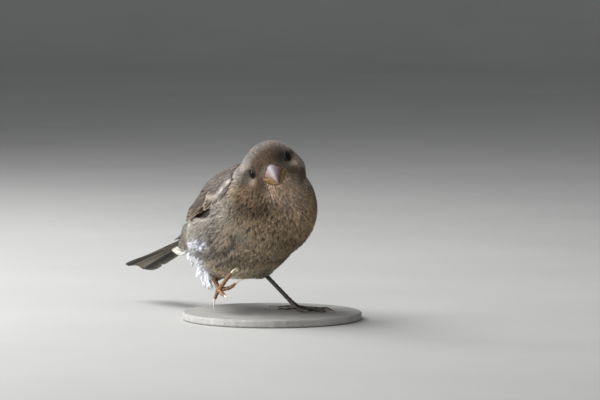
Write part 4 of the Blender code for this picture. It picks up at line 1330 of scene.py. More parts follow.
STYLE = {
    "face":   dict(nb=9, spike=True, wide=0.30, lift=0.03, barb_w=0.15, mat=MAT_HEAD, slot="plumage_head",
                   thick=0.022, twist=0.22, fan=95),
    "head":   dict(nb=12, spike=True, wide=0.27, lift=0.035, barb_w=0.10, mat=MAT_HEAD, slot="plumage_head",
                   thick=0.025, twist=0.20, fan=88, barb=0.52),
    "breast": dict(nb=12, spike=True, wide=0.29, lift=0.05, barb_w=0.098, twist=0.26, thick=0.026, fan=88, barb=0.60),
    "belly":  dict(nb=13, spike=True, wide=0.28, lift=0.055, barb_w=0.088, twist=0.26, thick=0.026, fan=88, barb=0.60),
    "flank":  dict(nb=20, fine=True, wide=0.22, lift=0.02, barb_w=0.044, twist=0.10, roll=0.15, fan=82, barb=0.62),
    "mantle": dict(nb=17, fine=True, wide=0.28, lift=0.02, barb_w=0.060, twist=0.13, roll=0.2, fan=88, barb=0.55),
    "rump":   dict(nb=17, fine=True, wide=0.25, lift=0.02, barb_w=0.052, twist=0.14, roll=0.2, fan=82, barb=0.60),
    "thigh":  dict(nb=12, spike=True, wide=0.24, lift=0.05, barb_w=0.080, fan=80, barb=0.6),
}
COUNT = {}
for i, (g, st) in enumerate(STYLE.items()):
    k = group == g
    if not k.any():
        continue
    sub = {a: b[k] for a, b in cols.items()}
    COUNT[g] = int(k.sum())
    feathers("coat_" + g, roots[k], lengths[k], sub, seed=100 + i, **st)
print("feathers", COUNT)


# ------------------------------------------------------- vanes: wings and tail
class Vanes:
    """Collects stiff feathers, each a closed thin shell over a grid, to be
    joined into one piece."""

    def __init__(self, seed):
        self.rng = np.random.default_rng(seed)
        self.v, self.f, self.c, self.b, self.uv, self.off = [], [], [], [], [], 0

    def shell(self, top, nrm, thick, colour, under, barb, uv0):
        """top (ns, nt, 3), nrm the same, thick (ns, nt), colours (ns, nt, 3)."""
        ns, nt = top.shape[:2]
        bottom = top - nrm*thick[..., None]
        V = np.concatenate([top.reshape(-1, 3), bottom.reshape(-1, 3)])
        idx = np.arange(ns*nt).reshape(ns, nt)
        a, b, c, d = idx[:-1, :-1], idx[1:, :-1], idx[1:, 1:], idx[:-1, 1:]
        up = np.stack([a, b, c, d], -1).reshape(-1, 4)
        low = up[:, ::-1] + ns*nt
        loop = np.concatenate([idx[0, :], idx[1:, -1], idx[-1, -2::-1], idx[-2:0:-1, 0]])
        nxt = np.roll(loop, -1)
        rim = np.stack([loop, nxt, nxt + ns*nt, loop + ns*nt], -1)
        F = np.concatenate([up, low, rim])
        # outward: the top's faces look along nrm
        e = np.cross(V[up[:, 1]] - V[up[:, 0]], V[up[:, 3]] - V[up[:, 0]])
        if (e*nrm[:-1, :-1].reshape(-1, 3)).sum() < 0:
            F = F[:, ::-1]
        self.v.append(V)
        self.f.append(F + self.off)
        self.off += len(V)
        self.c.append(np.concatenate([colour.reshape(-1, 3), under.reshape(-1, 3)]))
        self.b.append(np.concatenate([barb.reshape(-1, 3)]*2))
        st = np.stack(np.meshgrid(np.linspace(-.5, .5, nt), np.linspace(-.5, .5, ns)), -1)
        u = uv0 + 0.003*st
        self.uv.append(np.concatenate([u.reshape(-1, 2)]*2))

    def blade(self, shaft, side, nrm, w_in, w_out, length, pal, thick=0.13, camber=0.10, ns=30,
              fringe=0.22, tip=0.16, wrap=None, notch=2, blunt=0.84, streak=0.0, dip=0.0, narrow=0.0, marks=None, under_mix=0.6):
        """One feather: shaft (ns, 3), its side and normal vectors, web widths.
        wrap, if given, turns (s, t in mm) into places on the body instead."""
        rng = self.rng
        s = np.linspace(0, 1, ns)**0.92
        cols_t = np.array([-1, -0.82, -0.5, -0.07, 0, 0.07, 0.5, 0.82, 1.0])
        nt = len(cols_t)
        out = np.sqrt(np.clip(1 - (np.clip(s - blunt, 0, 1)/(1.0001 - blunt))**2.2, 0, 1))
        out = np.maximum(out, 0.10)*smoothstep(s, -0.12, 0.10)
        edge = np.ones((ns, 2))*out[:, None]
        rough = rng.normal(0, 0.018, (ns, 2))
        if length > 12:                                   # long vanes have even edges
            rough = (np.roll(rough, 1, 0) + rough + np.roll(rough, -1, 0))/8
        edge *= 1 + rough
        for _ in range(notch):
            e, k = rng.integers(0, 2), rng.integers(ns//3, ns - 2)
            edge[k, e] *= rng.uniform(0.66, 0.85)
            if rng.random() < 0.5:
                edge[k - 1, e] *= 0.92
        t = cols_t[None]*np.ones((ns, 1))
        wid = np.where(t < 0, w_in*edge[:, :1], w_out*edge[:, 1:])
        off = t*wid                                     # mm across
        # barbs slant forward: the outer columns ride ahead of the shaft
        fwd = np.minimum(np.abs(off)*0.55, 0.12*length)*(1 - s[:, None])
        x = s[:, None]*length*0.94 + fwd
        rise = -camber*(np.abs(t)**2)*np.where(t < 0, w_in, w_out)*0.5
        rise = rise + 0.05*np.exp(-(t/0.08)**2)*(1 - s[:, None]*0.7)     # the shaft
        rise = rise - dip*(1 - s[:, None])**2
        if wrap is not None:
            top, nr = wrap(x/length, off, rise)
        else:
            xs = np.clip(x/length, 0, 1)*(ns - 1)
            i = np.minimum(xs.astype(int), ns - 2)
            f = (xs - i)[..., None]
            c = shaft[i]*(1 - f) + shaft[i + 1]*f
            sd = side[i]*(1 - f) + side[i + 1]*f
            nr = nrm[i]*(1 - f) + nrm[i + 1]*f
            top = c + sd*off[..., None] + nr*rise[..., None]
        th = thick*(1 - 0.55*np.abs(t))*(1 - 0.35*s[:, None])
        # colour
        dark, pale, mid, under = pal
        w_ = np.abs(t)
        fr = fringe*(1 - narrow*s[:, None])
        far = np.clip((w_ - (1 - fr*1.6))/(fr*1.1), 0, 1)
        col = mix(mix(np.broadcast_to(mid, top.shape), dark, smoothstep(-w_, -0.75, -0.25)*0.8),
                  pale, far*np.where(t > 0, 1.0, 0.7))
        end = smoothstep(s[:, None]*np.ones_like(t) + min(0.06, 0.35/length)*(1 - w_), 1 - tip, 1 - tip*0.35)
        col = mix(col, pale, end*0.95 if tip > 0 else 0*end)
        col = mix(col, dark*0.55, 0.75*np.exp(-(t/0.06)**2))
        col = mix(col, dark, streak*np.exp(-(t/0.34)**2)*(1 - smoothstep(s[:, None], 0.72, 0.9)))
        line = 1 + rng.normal(0, 0.02, col.shape[:2])
        col = col*(line*rng.uniform(0.93, 1.07))[..., None]
        if marks is not None:
            col = marks(top, col)
        barb = np.stack([(x + 1.3*np.abs(off))*2.6, t, 0*t + rng.uniform(0, 9)], -1)
        uv0 = skin_uv(top[ns//3, nt//2])
        self.shell(top, nr, th, col, mix(col, np.broadcast_to(under, col.shape), under_mix), barb, uv0)

    def build(self, name, mat=None):
        v, f = np.vstack(self.v), np.vstack(self.f)
        o = mesh_object(name, v, f, True, mat or MAT_VANE)
        set_tint(o, np.vstack(self.c))
        set_vector(o, "barb", np.vstack(self.b))
        set_uv(o, np.vstack(self.uv))
        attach(o, "root")
        return o


def wing_wrap(side, y0, d0, y1, d1, level, bow=0.0, tilt=0.0):
    """Lay a feather on the folded wing from (y0, d0) to (y1, d1): y along the
    trunk and d degrees from the back.  Returns a function of (s, off, rise)."""
    def f(s, off, rise):
        rad = np.interp(y0 + (y1 - y0)*0.5, [-10, 0, 20, 40], [19.5, 20, 17, 12])
        per = radians(1)*rad                               # mm per degree
        dy, da = y1 - y0, (d1 - d0)*per
        n = sqrt(dy*dy + da*da)
        sag = bow*np.sin(pi*np.clip(s, 0, 1))
        yy = y0 + dy*s - da/n*(off + sag)
        dd = d0 + (d1 - d0)*s + dy/n*(off + sag)/per
        a = np.radians(dd)
        start = np.stack([0*yy, yy, axis_z(yy)], -1)
        way = np.stack([side*np.sin(a), 0*a, np.cos(a)], -1)
        out = 1.7*np.exp(-((yy - 15)/9.0)**2)*smoothstep(dd, 40, 70)      # the wing stands off the flank
        top = ray_to(body_full, start, way, level + out + rise + tilt*off, rounds=32)
        g = unit(gradient(body_full, top))
        return top, g
    return f


DARK = srgb(36, 28, 23)
MIDB = srgb(62, 50, 42)
BUFF = srgb(138, 121, 102)
PALE = srgb(240, 230, 220)
GREY = srgb(134, 126, 118)
UNDER = srgb(150, 142, 134)


def wing_marks(p, col):
    """Marks that run across the rows of coverts: a white patch on the median
    coverts, a dark edge in front of it and the pale bend of the wing."""
    q = np.stack([np.abs(p[..., 0]), p[..., 1], p[..., 2]], -1)
    grain = np.clip(0.80 + 0.28*wander(p, 1.7) + 0.16*wander(p[..., ::-1], 0.8), 0.2, 1)
    col = mix(col, srgb(172, 162, 154), np.clip(1.1*stroke(q, (16.4, -8.4, 53.2), (18.8, -3.8, 47.4), 1.1), 0, 0.85)*grain)
    col = mix(col, DARK*1.4, np.clip(1.2*stroke(q, (15.6, -3.6, 53.0), (18.0, -0.6, 49.0), 0.7), 0, 0.8))
    return mix(col, srgb(150, 137, 126), np.clip(1.35*stroke(q, (18.6, 4.6, 46.6), (19.2, -2.0, 46.4), 1.0), 0, 0.92)*grain)


def build_wing(side, tag):
    rng = np.random.default_rng(500 + side)
    low = Vanes(600 + side)
    n = 17
    for k in range(n - 1, -1, -1):
        f = k/(n - 1)
        v0, v1 = 0.04 + 0.78*f, 0.10 + 0.84*f
        if k < 3:
            tip, w_out, w_in = 24.5 + 2.6*k, 2.5, 3.4
        elif k < 9:
            tip, w_out, w_in = 30.5 + 0.55*(k - 3), 1.7, 3.4
        else:
            tip, w_out, w_in = 36.5 + 0.75*(k - 9) - 0.55*max(0, k - 14)**2, 1.15, 3.0
        y0 = 3.0 + 1.5*f
        u0 = np.clip((y0 - WING_FRONT)/42, 0, 1)
        u1 = np.clip((tip - WING_FRONT)/42, 0, 1)
        up0, lo0 = wing_edges(u0)
        up1, lo1 = wing_edges(u1)
        d0, d1 = up0 + (lo0 - up0)*v0, up1 + (lo1 - up1)*v1
        lev = 0.22 - 0.085*k
        pal = (DARK, BUFF*(0.62 if k < 9 else 0.72), mix(DARK, MIDB, 0.5 if k < 9 else 0.35), UNDER)
        L = sqrt((tip - y0)**2 + ((d1 - d0)*0.3)**2)
        low.blade(None, None, None, w_in, w_out, L, pal, ns=40, fringe=0.20 if k < 3 else 0.17, narrow=0.6,
                  tip=0.035 if k < 9 else 0.025, notch=3, blunt=0.86, camber=0.06,
                  wrap=wing_wrap(side, y0, d0, tip, d1, lev, bow=0.5 + 2.4*f, tilt=0.03))
    o = low.build("flight_vanes_" + tag)
    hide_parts("flight_feathers_" + tag)

    cov = Vanes(700 + side)
    # greater coverts over the bases of the secondaries, then the median row
    rows = (("primary", 7, 5.0, 15.0, 0.76, 0.96, 1.15, 0.04, 0.00),
            ("greater", 15, 0.0, 13.6, 0.14, 0.84, 1.30, 0.05, 0.24),
            ("median", 11, -3.4, 3.6, 0.14, 0.82, 1.50, 0.12, 0.42),
            ("lesser", 10, -5.4, -0.9, 0.12, 0.82, 1.45, 0.14, 0.44))
    slant = {"primary": (0.88, 1.02), "greater": (0.72, 1.08), "median": (0.86, 1.04), "lesser": (0.92, 1.02)}
    for name, count, ya, yb, va, vb, w, tip, lev in rows:
        for k in range(count - 1, -1, -1):
            f = k/(count - 1)
            v = va + (vb - va)*f
            ys = ya + 3.5*(2*v - 1)**2*0.6 + rng.normal(0, 0.22)
            ye = yb + 2.2*(1 - abs(2*v - 0.9)) - 1.5*(name == "greater")*f + rng.normal(0, 0.25)
            u = np.clip((0.5*(ys + ye) - WING_FRONT)/42, 0, 1)
            up, lo = wing_edges(u)
            ds, de = (up + (lo - up)*v*m for m in slant[name])
            mid, dark, pale = MIDB, DARK, BUFF
            if name == "median":
                pale = BUFF*0.85
            elif name == "lesser":
                pale, mid, dark = GREY, mix(MIDB, GREY, np.array(0.15 + 0.3*f)), mix(DARK, MIDB, 0.5)
            elif name == "primary":
                pale = BUFF*0.8
            elif name == "greater":
                mid, dark, pale = MIDB*0.8, DARK*0.9, BUFF*(0.62 + 0.3*(k % 2))
            pal = (dark, pale, mid, UNDER)
            L = ye - ys
            cov.blade(None, None, None, w*1.2, w, L, pal, ns=20, fringe=0.27, tip=tip, marks=wing_marks,
                      wrap=wing_wrap(side, ys, ds - 1.0, ye, de + 1.0, lev - 0.028*k, bow=0.2, tilt=0.02),
                      notch=2, blunt=0.66, camber=0.10, dip=0.5, streak=0.45)
    o = cov.build("covert_vanes_" + tag)
    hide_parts("wing_" + tag)


TAIL_AT = vec(0, TAIL_ROOT_Y, 25.2)
TAIL_UP = vec(0, sin(radians(TAIL_SLOPE)), cos(radians(TAIL_SLOPE)))


def tail_place(along, across, up, u):
    """Turn tail coordinates (mm along, across, up) into the bird's frame."""
    roll = np.radians(-TAIL_ROLL)*smoothstep(u, 0.0, 0.9)
    x = across*np.cos(roll) - up*np.sin(roll)
    z = across*np.sin(roll) + up*np.cos(roll)
    return (TAIL_AT + along[..., None]*TAIL_WAY + x[..., None]*vec(1, 0, 0)
            + (z + 0.2)[..., None]*TAIL_UP)


def build_tail():
    t = Vanes(800)
    length = (TAIL_TIP_Y - TAIL_ROOT_Y)/cos(radians(TAIL_SLOPE))
    for layer in range(5, -1, -1):                      # the middle pair on top
        for s in (1, -1):
            v = s*(0.10 + 0.145*layer)
            L = length - 1.5*(1 - abs(v))**1.2 - (0.9 if layer == 5 else 0) + 9.8
            lev = 1.35 - 0.26*layer + (0.05 if s > 0 else 0)

            def wrap(sx, off, rise, v=v, s=s, L=L, lev=lev):
                along = sx*L - 6.0
                u = np.clip(along/length, 0, 1)
                half = 4.0 + 2.6*u
                across = v*half*0.72 + off*s*-1.0*(0.35 + 0.65*smoothstep(u, 0.0, 0.35))
                vv = np.clip(across/half, -1.2, 1.2)
                up = -0.9*vv*vv*(1 - 0.4*u) + lev*(1 - 0.62*u) + rise
                p = tail_place(along, across, up, u)
                n = unit(TAIL_UP + 0.12*vv[..., None]*vec(1, 0, 0) + 0*p)
                return p, n

            # from below: pale outer web and inner edge, dark along the shaft
            under = 0.8*np.array([srgb(*c) for c in ((122, 117, 101), (112, 107, 92), (62, 57, 48), (34, 30, 26), (44, 39, 34),
                                                 (38, 33, 28), (56, 51, 45), (140, 132, 120), (158, 150, 137))])
            pal = (srgb(38, 31, 27), srgb(116, 103, 88), srgb(56, 47, 40), under)
            t.blade(None, None, None, 3.3, 1.9 if layer else 2.6, L, pal, ns=48, fringe=0.13, under_mix=0.92,
                    tip=0.03, wrap=wrap, notch=1, blunt=0.88, camber=0.03, thick=0.16)
    o = t.build("tail_vanes")
    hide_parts("tail")


for side, tag in ((1, "left"), (-1, "right")):
    build_wing(side, tag)
build_tail()


# ---------------------------------------------- scapulars and lesser coverts
def on_wing(side, y, deg, level):
    a = np.radians(deg)
    start = np.stack([0*y, y, axis_z(y)], -1)
    way = np.stack([side*np.sin(a), 0*a, np.cos(a)], -1)
    return ray_to(body_full, start, way, level)


def build_scapulars(side, tag):
    """Dark-centred, buff-edged feathers in overlapping rows from the shoulder
    over the upper edge of the wing, and the small coverts at its bend."""
    rng = np.random.default_rng(1000 + side)
    sc = Vanes(1010 + side)
    for row in range(8):
        y0 = -12.6 + 2.7*row
        u = row/7
        lo, hi = 9 + 3*u, 50 - 12*u
        n = int(round((hi - lo)/4.3)) + 1
        for k in range(n):
            d = lo + (hi - lo)*(k + 0.5*(row % 2))/n + rng.normal(0, 0.9)
            ys = y0 + rng.normal(0, 0.65)
            L = rng.uniform(6.4, 8.6)*(0.85 + 0.20*u)
            if head_weight(on_wing(side, vec(ys), vec(d), 0.0)).max() > 0.06:
                continue
            light = rng.uniform(0.40, 0.88)
            edge = mix(MANTLE, BUFF, np.array(rng.uniform(0.1, 0.8)))*light
            pal = (DARK*1.1, edge, mix(MANTLE*0.6, MIDB, np.array(rng.uniform(0.35, 0.8))), UNDER)
            sc.blade(None, None, None, 1.15, 1.05, L, pal, ns=15, fringe=0.34, tip=0.03, marks=wing_marks,
                     wrap=wing_wrap(side, ys, d - 1.0, ys + L, d + 2.0 + 0.16*d + rng.normal(0, 1.2),
                                    0.74 - 0.018*k + rng.uniform(0, 0.05), bow=0.15, tilt=0.02),
                     notch=2, blunt=0.36, camber=0.16, dip=0.62, streak=rng.uniform(0.7, 1.0))
    for row in range(6):
        y0 = -9.6 + 1.45*row
        lo, hi = 44 - 2.0*row, 68 - 0.6*row
        n = int(round((hi - lo)/4.2)) + 1
        for k in range(n):
            d = lo + (hi - lo)*(k + 0.5*(row % 2))/n + rng.normal(0, 0.4)
            ys = y0 + rng.normal(0, 0.2)
            L = rng.uniform(3.0, 3.7)
            if head_weight(on_wing(side, vec(ys), vec(d), 0.0)).max() > 0.06:
                continue
            m = mix(GREY*0.66, MIDB*1.1, np.array(rng.uniform(0.1, 0.9)))
            sc.blade(None, None, None, 0.95, 0.9, L, (m*0.5, m*1.35, m, UNDER), ns=11, fringe=0.34, tip=0.08,
                     wrap=wing_wrap(side, ys, d - 0.5, ys + L, d + 3.0, 0.60 - 0.015*k + rng.uniform(0, 0.03),
                                    bow=0.1, tilt=0.02), marks=wing_marks,
                     notch=2, blunt=0.42, camber=0.16, dip=0.5, streak=0.5)
    sc.build("coat_scapulars_" + tag)


for side, tag in ((1, "left"), (-1, "right")):
    build_scapulars(side, tag)


# --------------------------------------------------------------- covert tufts
def tail_form(p):
    """The body with the root of the tail drawn out behind it."""
    r = p - TAIL_AT
    along = r @ TAIL_WAY
    x, z = r[..., 0], r @ TAIL_UP - 0.2
    u = np.clip(along/40, 0, 1)
    hw, ht = 4.0 + 2.6*u + 0.6, 1.9*(1 - 0.5*u)
    d = (np.sqrt((x/hw)**2 + (z/ht)**2) - 1)*ht*1.3
    d = np.where(along < -6, np.maximum(d, (-6 - along)), d)
    return blend(body_full(p), d, 3.0)


def covert_tufts():
    rng = np.random.default_rng(900)
    pts, ls = [], []
    for k in range(120):                                  # under and upper tail coverts
        upper = k % 2 == 0
        y0 = rng.uniform(34, 47.0)
        x = rng.uniform(-1, 1)
        z = 4.5 if upper else -4.5
        pts.append((x*4.8, y0, axis_z(y0) + z))
        ls.append(rng.uniform(5.5, 9.0))
    p = np.array(pts, float)
    p = to_surface(tail_form, p, rounds=10)
    L = np.array(ls)
    c = coat_colours(p, rng, 0.1)
    low = smoothstep(axis_z(p[:, 1]) - p[:, 2], -1, 2)[:, None]
    c["body"] = mix(c["body"], WHITE*0.9, 0.8*low)
    c["edge"] = mix(c["edge"], WHITE, 0.8*low)
    c["down"] = mix(c["down"], WHITE*0.7, 0.7*low)
    c["shaft"] = mix(c["shaft"], WHITE*0.6, 0.8*low)
    return p, L, c


tp, tl, tc = covert_tufts()
feathers("coat_tail_coverts", tp, tl, tc, seed=901, nb=18, fine=True, wide=0.20, lift=0.02, barb_w=0.045,
         twist=0.10, form=tail_form)


def loose_plumes():
    """White plumes that hang free of the outline by the vent and flank:
    each a centre line of K + 1 places, root first."""
    rng = np.random.default_rng(950)
    lines = [((-15.5, 13.6, 21.5), (-14.9, 12.3, 17.2), (-13.9, 11.2, 12.8), (-12.7, 10.0, 7.8)),
             ((-14.6, 12.8, 21.5), (-14.2, 11.6, 17.6), (-13.6, 10.8, 13.8), (-12.9, 10.3, 10.4)),
             ((-16.2, 12.8, 21.0), (-16.0, 12.6, 17.8), (-16.2, 12.8, 15.6), (-17.2, 13.5, 13.2))]
    for i in range(26):                               # the tufts behind the white flank
        a = vec(-20.4, 7.0, 22.5)*(1 - i/25) + vec(-15.0, 13.5, 18.5)*(i/25) + rng.normal(0, 0.5, 3)
        w = vec(-0.05, 0.60, -0.80) + rng.normal(0, 0.12, 3)
        w = w/np.linalg.norm(w)*rng.uniform(1.6, 2.6)
        lines.append((a, a + w*0.35 + vec(-0.3, 0, 0.1), a + w*0.7 + vec(-0.3, 0, 0), a + w))
    a = np.stack([np.linspace(-21.6, -19.2, 16), np.linspace(12.4, 12.8, 16), np.linspace(24.4, 19.4, 16)], -1)
    a = to_surface(body_full, a + rng.normal(0, 0.35, a.shape), rounds=10)
    for i in range(16):                               # and along the edge of the vent
        w = vec(-0.10, 0.30, -0.95) + rng.normal(0, 0.10, 3)
        w = w/np.linalg.norm(w)*rng.uniform(1.5, 2.3)
        b = a[i]
        lines.append((b, b + w*0.35 + vec(-0.2, 0.1, 0), b + w*0.7 + vec(-0.2, 0.1, 0), b + w))
    for i in range(14):                               # pale tufts under the root of the tail
        sd = 1 if i % 2 else -1
        a = vec(sd*rng.uniform(1.5, 4.6), rng.uniform(41.5, 44.5), rng.uniform(20.6, 21.6))
        tip = vec(sd*rng.uniform(2.0, 4.2), rng.uniform(49.0, 52.5), rng.uniform(20.6, 21.8))
        lines.append((a, a*0.65 + tip*0.35 + vec(0, 0, -0.5), a*0.3 + tip*0.7 + vec(0, 0, -0.4), tip))
    C = np.array([catmull(c, K + 1) for c in lines])              # n, K+1, 3
    n = len(C)
    P = C.transpose(1, 0, 2)
    T = unit(np.gradient(P, axis=0))
    out = unit(vec(*BACK_WAY) + rng.normal(0, 0.12, (n, 3)))
    S = unit(np.cross(T, out[None]))
    N = np.cross(S, T)
    L = np.linalg.norm(np.diff(P, axis=0), axis=-1).sum(0)
    c = {k: np.broadcast_to(WHITE*v, (n, 3)).copy() for k, v in (("body", 0.96), ("edge", 1.0), ("down", 0.85), ("shaft", 0.8))}
    for v in c.values():                              # those under the tail are creamier
        v[-14:] *= vec(0.66, 0.62, 0.52)
    c["streak"] = np.zeros(n)
    return P[0], L, c, (P, S, N)


BACK_WAY = (-0.56, -0.83, 0.08)
pp, pl_, pc, ppath = loose_plumes()
feathers("coat_white_plumes", pp, pl_, pc, seed=951, nb=24, wide=0.19, lift=0.0, barb_w=0.062, depth=0.0,
         twist=0.03, path=ppath)


# ----------------------------------------------------------------------- eyes
MAT_EYE = eye_material()
for s, tag in ((1, "left"), (-1, "right")):
    look = eye_look(s)
    v, q4, t3 = ball_grid(64, 44)
    th = np.arccos(np.clip(v[:, 2], -1, 1))
    r = EYE_R*0.985 + 0.17*np.exp(-(th/0.62)**2)          # the cornea stands out
    a = unit(np.cross(look, vec(0, 0, 1)))
    b = np.cross(a, look)
    q = eye_at(s) + (v[:, :1]*a + v[:, 1:2]*b + v[:, 2:]*look)*r[:, None]
    o = mesh_object("eyeball_" + tag, from_head(q), [q4, t3], True, MAT_EYE)
    orient(o)
    rad = np.sin(np.minimum(th, pi/2))*EYE_R/2.7
    ph = np.arctan2(v[:, 1], v[:, 0])
    set_vector(o, "iris", np.stack([rad, 5*np.cos(ph), 5*np.sin(ph)], -1))
    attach(o, "root")
    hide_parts("eye_" + tag)


# ----------------------------------------------------------------------- bill
def bill_mesh(part):
    nt, na = 60, 56
    t = np.sin(np.linspace(0, 1, nt + 1)[1:-1]*pi/2)**1.6
    t = np.r_[np.linspace(0.004, 0.05, 6), t[t > 0.06]]
    t = t[t < 0.997]
    nt = len(t)
    ang = np.linspace(0, 2*pi, na, endpoint=False)
    T, A = np.meshgrid(t, ang, indexing="ij")
    c, s = np.cos(A), np.sin(A)
    c = np.sign(c)*np.abs(c)**0.92
    drop = {"upper": 0.15, "lower": -0.15}[part]
    short = 1.1 if part == "lower" else 0.0
    edge0 = vec(0, BILL_BASE - 0.8, -2.2)
    tip = vec(*BILL_TIP) + vec(0, -short, drop)
    taper = np.clip(1 - T, 0, 1)**0.72*smoothstep(T, -0.06, 0.08)
    mid = edge0 + (tip - edge0)*T[..., None]
    mid[..., 2] += 0.75*np.sin(pi*T)
    near_edge = np.exp(-(s/0.55)**2)
    roll = np.exp(-((T - 0.20)/0.12)**2)
    full = np.clip(1 - T, 0, 1)**0.56*smoothstep(T, -0.06, 0.08)
    wide = BILL_W*taper
    if part == "lower":
        wide = BILL_W_LOW*taper + FLANGE*roll*(0.20 + 0.95*near_edge) + 0.10*np.sin(T*34)*roll*near_edge
        top, under = 0.05*taper, GONYS_H*full
    else:
        wide = wide + 0.75*roll*near_edge
        top, under = CULMEN_H*taper, 0.05*taper
        wide = wide*(1 - 0.10*smoothstep(s, 0.45, 1.0))        # a ridged culmen
    step = {"upper": 0.04, "lower": -0.04}[part]
    p = np.stack([wide*c, mid[..., 1], mid[..., 2] + step + np.where(s > 0, s*top, s*under)], -1)
    if part == "upper":
        for k in (1, -1):                                     # the nostrils
            c0 = vec(k*2.05, BILL_BASE + 1.7, 0.75)
            d = np.linalg.norm((p - c0)/vec(1.0, 0.55, 0.36), axis=-1)
            dent = 0.55*np.exp(-d**2*1.3)
            p = p - np.stack([k*dent*0.75, 0*dent, dent*0.45], -1)
        # the cutting edge hooks down a little at the tip
        p[..., 2] -= 0.22*np.exp(-((T - 0.97)/0.05)**2)*(np.abs(s) < 2)
    v = p.reshape(-1, 3)
    i = np.arange(na)
    k = (i + 1) % na
    quads = np.concatenate([np.stack([j*na + i, (j + 1)*na + i, (j + 1)*na + k, j*na + k], -1)
                            for j in range(nt - 1)])
    c0, c1 = len(v), len(v) + 1
    v = np.vstack([v, p[0].mean(0) - vec(0, 0.1, 0), p[-1].mean(0) + vec(0, 0.10, 0)])
    tris = np.concatenate([np.stack([np.full(na, c0), k, i], -1),
                           np.stack([np.full(na, c1), (nt - 1)*na + i, (nt - 1)*na + k], -1)])
    soft = {"lower": roll*1.25*np.clip(near_edge + 0.25, 0, 1), "upper": roll*near_edge*1.3}[part]
    at = np.stack([T, np.clip(soft, 0, 1), s], -1).reshape(-1, 3)
    at = np.vstack([at, (0, 0, 0), (1, 0, 0)])
    name = "bill_%s_horn" % part
    if part == "upper":
        mat = bill_material(name, [(0.0, srgb(80, 64, 56)), (0.12, srgb(102, 88, 84)), (0.30, srgb(124, 117, 122)),
                                   (0.72, srgb(124, 117, 121)), (1.0, srgb(94, 80, 74))], srgb(118, 80, 36), 0.55,
                            srgb(112, 78, 66))
    else:
        mat = bill_material(name, [(0.0, srgb(122, 88, 50)), (0.30, srgb(136, 104, 60)), (0.70, srgb(138, 116, 82)),
                                   (1.0, srgb(128, 110, 90))], srgb(140, 102, 40), 0.55, srgb(96, 74, 34))
    o = mesh_object(name, from_head(v), [quads, tris], True, mat)
    orient(o)
    set_vector(o, "along", at)
    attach(o, "root")
    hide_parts("bill_" + part)
    return o


for part in ("upper", "lower"):
    bill_mesh(part)


# ---------------------------------------------------------------- legs and feet
# lit and shaded copies of one leg colour: the standing left leg is painted dark as painted shade, the raised right leg
# carries the lit colour
MAT_LEG_L_PAINTED_SHADE = leg_material("leg_scutes_left_painted_shade", srgb(42, 34, 28), srgb(26, 21, 18))
MAT_LEG_R_PAINTED_LIT = leg_material("leg_scutes_right_painted_lit", srgb(128, 94, 62), srgb(88, 60, 36))
MAT_CLAW = claw_material()
RIGHT = vec(0.829, -0.559, 0)
OUT = vec(-0.557, -0.827, 0.078)
UPW = vec(0, 0, 1)


def saw(x):
    """Overlapping plates: rises slowly, then drops to the next plate."""
    f = x - np.floor(x)
    return smoothstep(f, 0, 0.75)*(1 - smoothstep(f, 0.88, 1.0))


def make_leg(side, ankle, toes, mat):
    a, b = vec(*ankle), vec(*toes)
    way = unit(b - a)
    n = 90
    t = np.linspace(0, 1, n)
    stop = np.linalg.norm(b - a) - 0.2
    pts = a + way*(-1.2 + (stop + 1.2)*t)[:, None]
    front = vec(0, -1, 0.2)
    rad = TARSUS_R*(1.10 - 0.20*np.sin(pi*t)**0.7)*(1 + 0.22*np.exp(-(t/0.10)**2) + 0.12*np.exp(-((t - 1)/0.06)**2))

    def shape(tt, ang):
        f = smoothstep(np.sin(ang), -0.25, 0.45)
        plates = saw(tt*10.5)*0.11*f
        back = 0.05*smoothstep(-np.sin(ang), 0.3, 0.9)
        net = 0.025*np.sin(tt*64)*np.sin(ang*7)*(1 - f)
        return 0.97 + plates + back + net

    v, q4, t3 = tube_mesh(pts, rad, 28, flat=0.86, up=front, shape=shape)
    o = mesh_object("tarsus_%s_scutes" % side, v, [q4, t3], True, mat)
    orient(o)
    d = v - a
    tt = (d @ way + 1.2)/(stop + 1.2)
    cr = np.exp(-((tt*10.5 - np.round(tt*10.5))/0.07)**2)
    set_tint(o, np.ones((len(v), 3))*(1.02 - 0.30*cr)[:, None])
    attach(o, "root")
    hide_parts("tarsus_" + side)
    return o


def flat(deg, fwd, up=0.0):
    return vec(sin(radians(deg))*fwd, -cos(radians(deg))*fwd, up)


def curl(r, u, b):
    return RIGHT*r + UPW*u + OUT*b


FLAT_TOES = {"inner": (-9.0, 9.5, 4.2, 0.72), "middle": (26.0, 13.6, 4.6, 0.80),
             "outer": (61.0, 10.2, 4.2, 0.70), "hind": (206.0, 8.2, 6.2, 0.82)}
RAISED = {
    "middle": ([curl(1.1, 1.5, 3.4), curl(3.0, 4.1, 6.2), curl(5.0, 6.7, 7.3)],
               [curl(0.9, 0.9, 0.9), curl(1.5, 0.9, 2.2), curl(1.5, 0.2, 3.3)]),
    "outer": ([curl(2.0, 0.3, 2.6), curl(4.6, 1.0, 4.6), curl(6.8, 2.6, 5.4)],
              [curl(1.0, 0.8, 0.7), curl(1.8, 0.9, 1.8), curl(1.9, 0.3, 2.8)]),
    "inner": ([curl(0.6, -0.5, 3.0), curl(1.6, -1.6, 5.8), curl(2.4, -2.2, 8.0)],
              [curl(0.4, -0.2, 1.3), curl(0.6, -0.9, 2.4), curl(0.7, -2.0, 3.0)]),
    "hind": ([curl(-0.6, -1.0, -1.2), curl(-1.1, -2.2, -1.4), curl(-1.6, -3.6, -0.8)],
             [curl(-0.1, -1.3, 0.4), curl(0.0, -2.6, 1.1), curl(0.2, -3.5, 2.2)]),
}


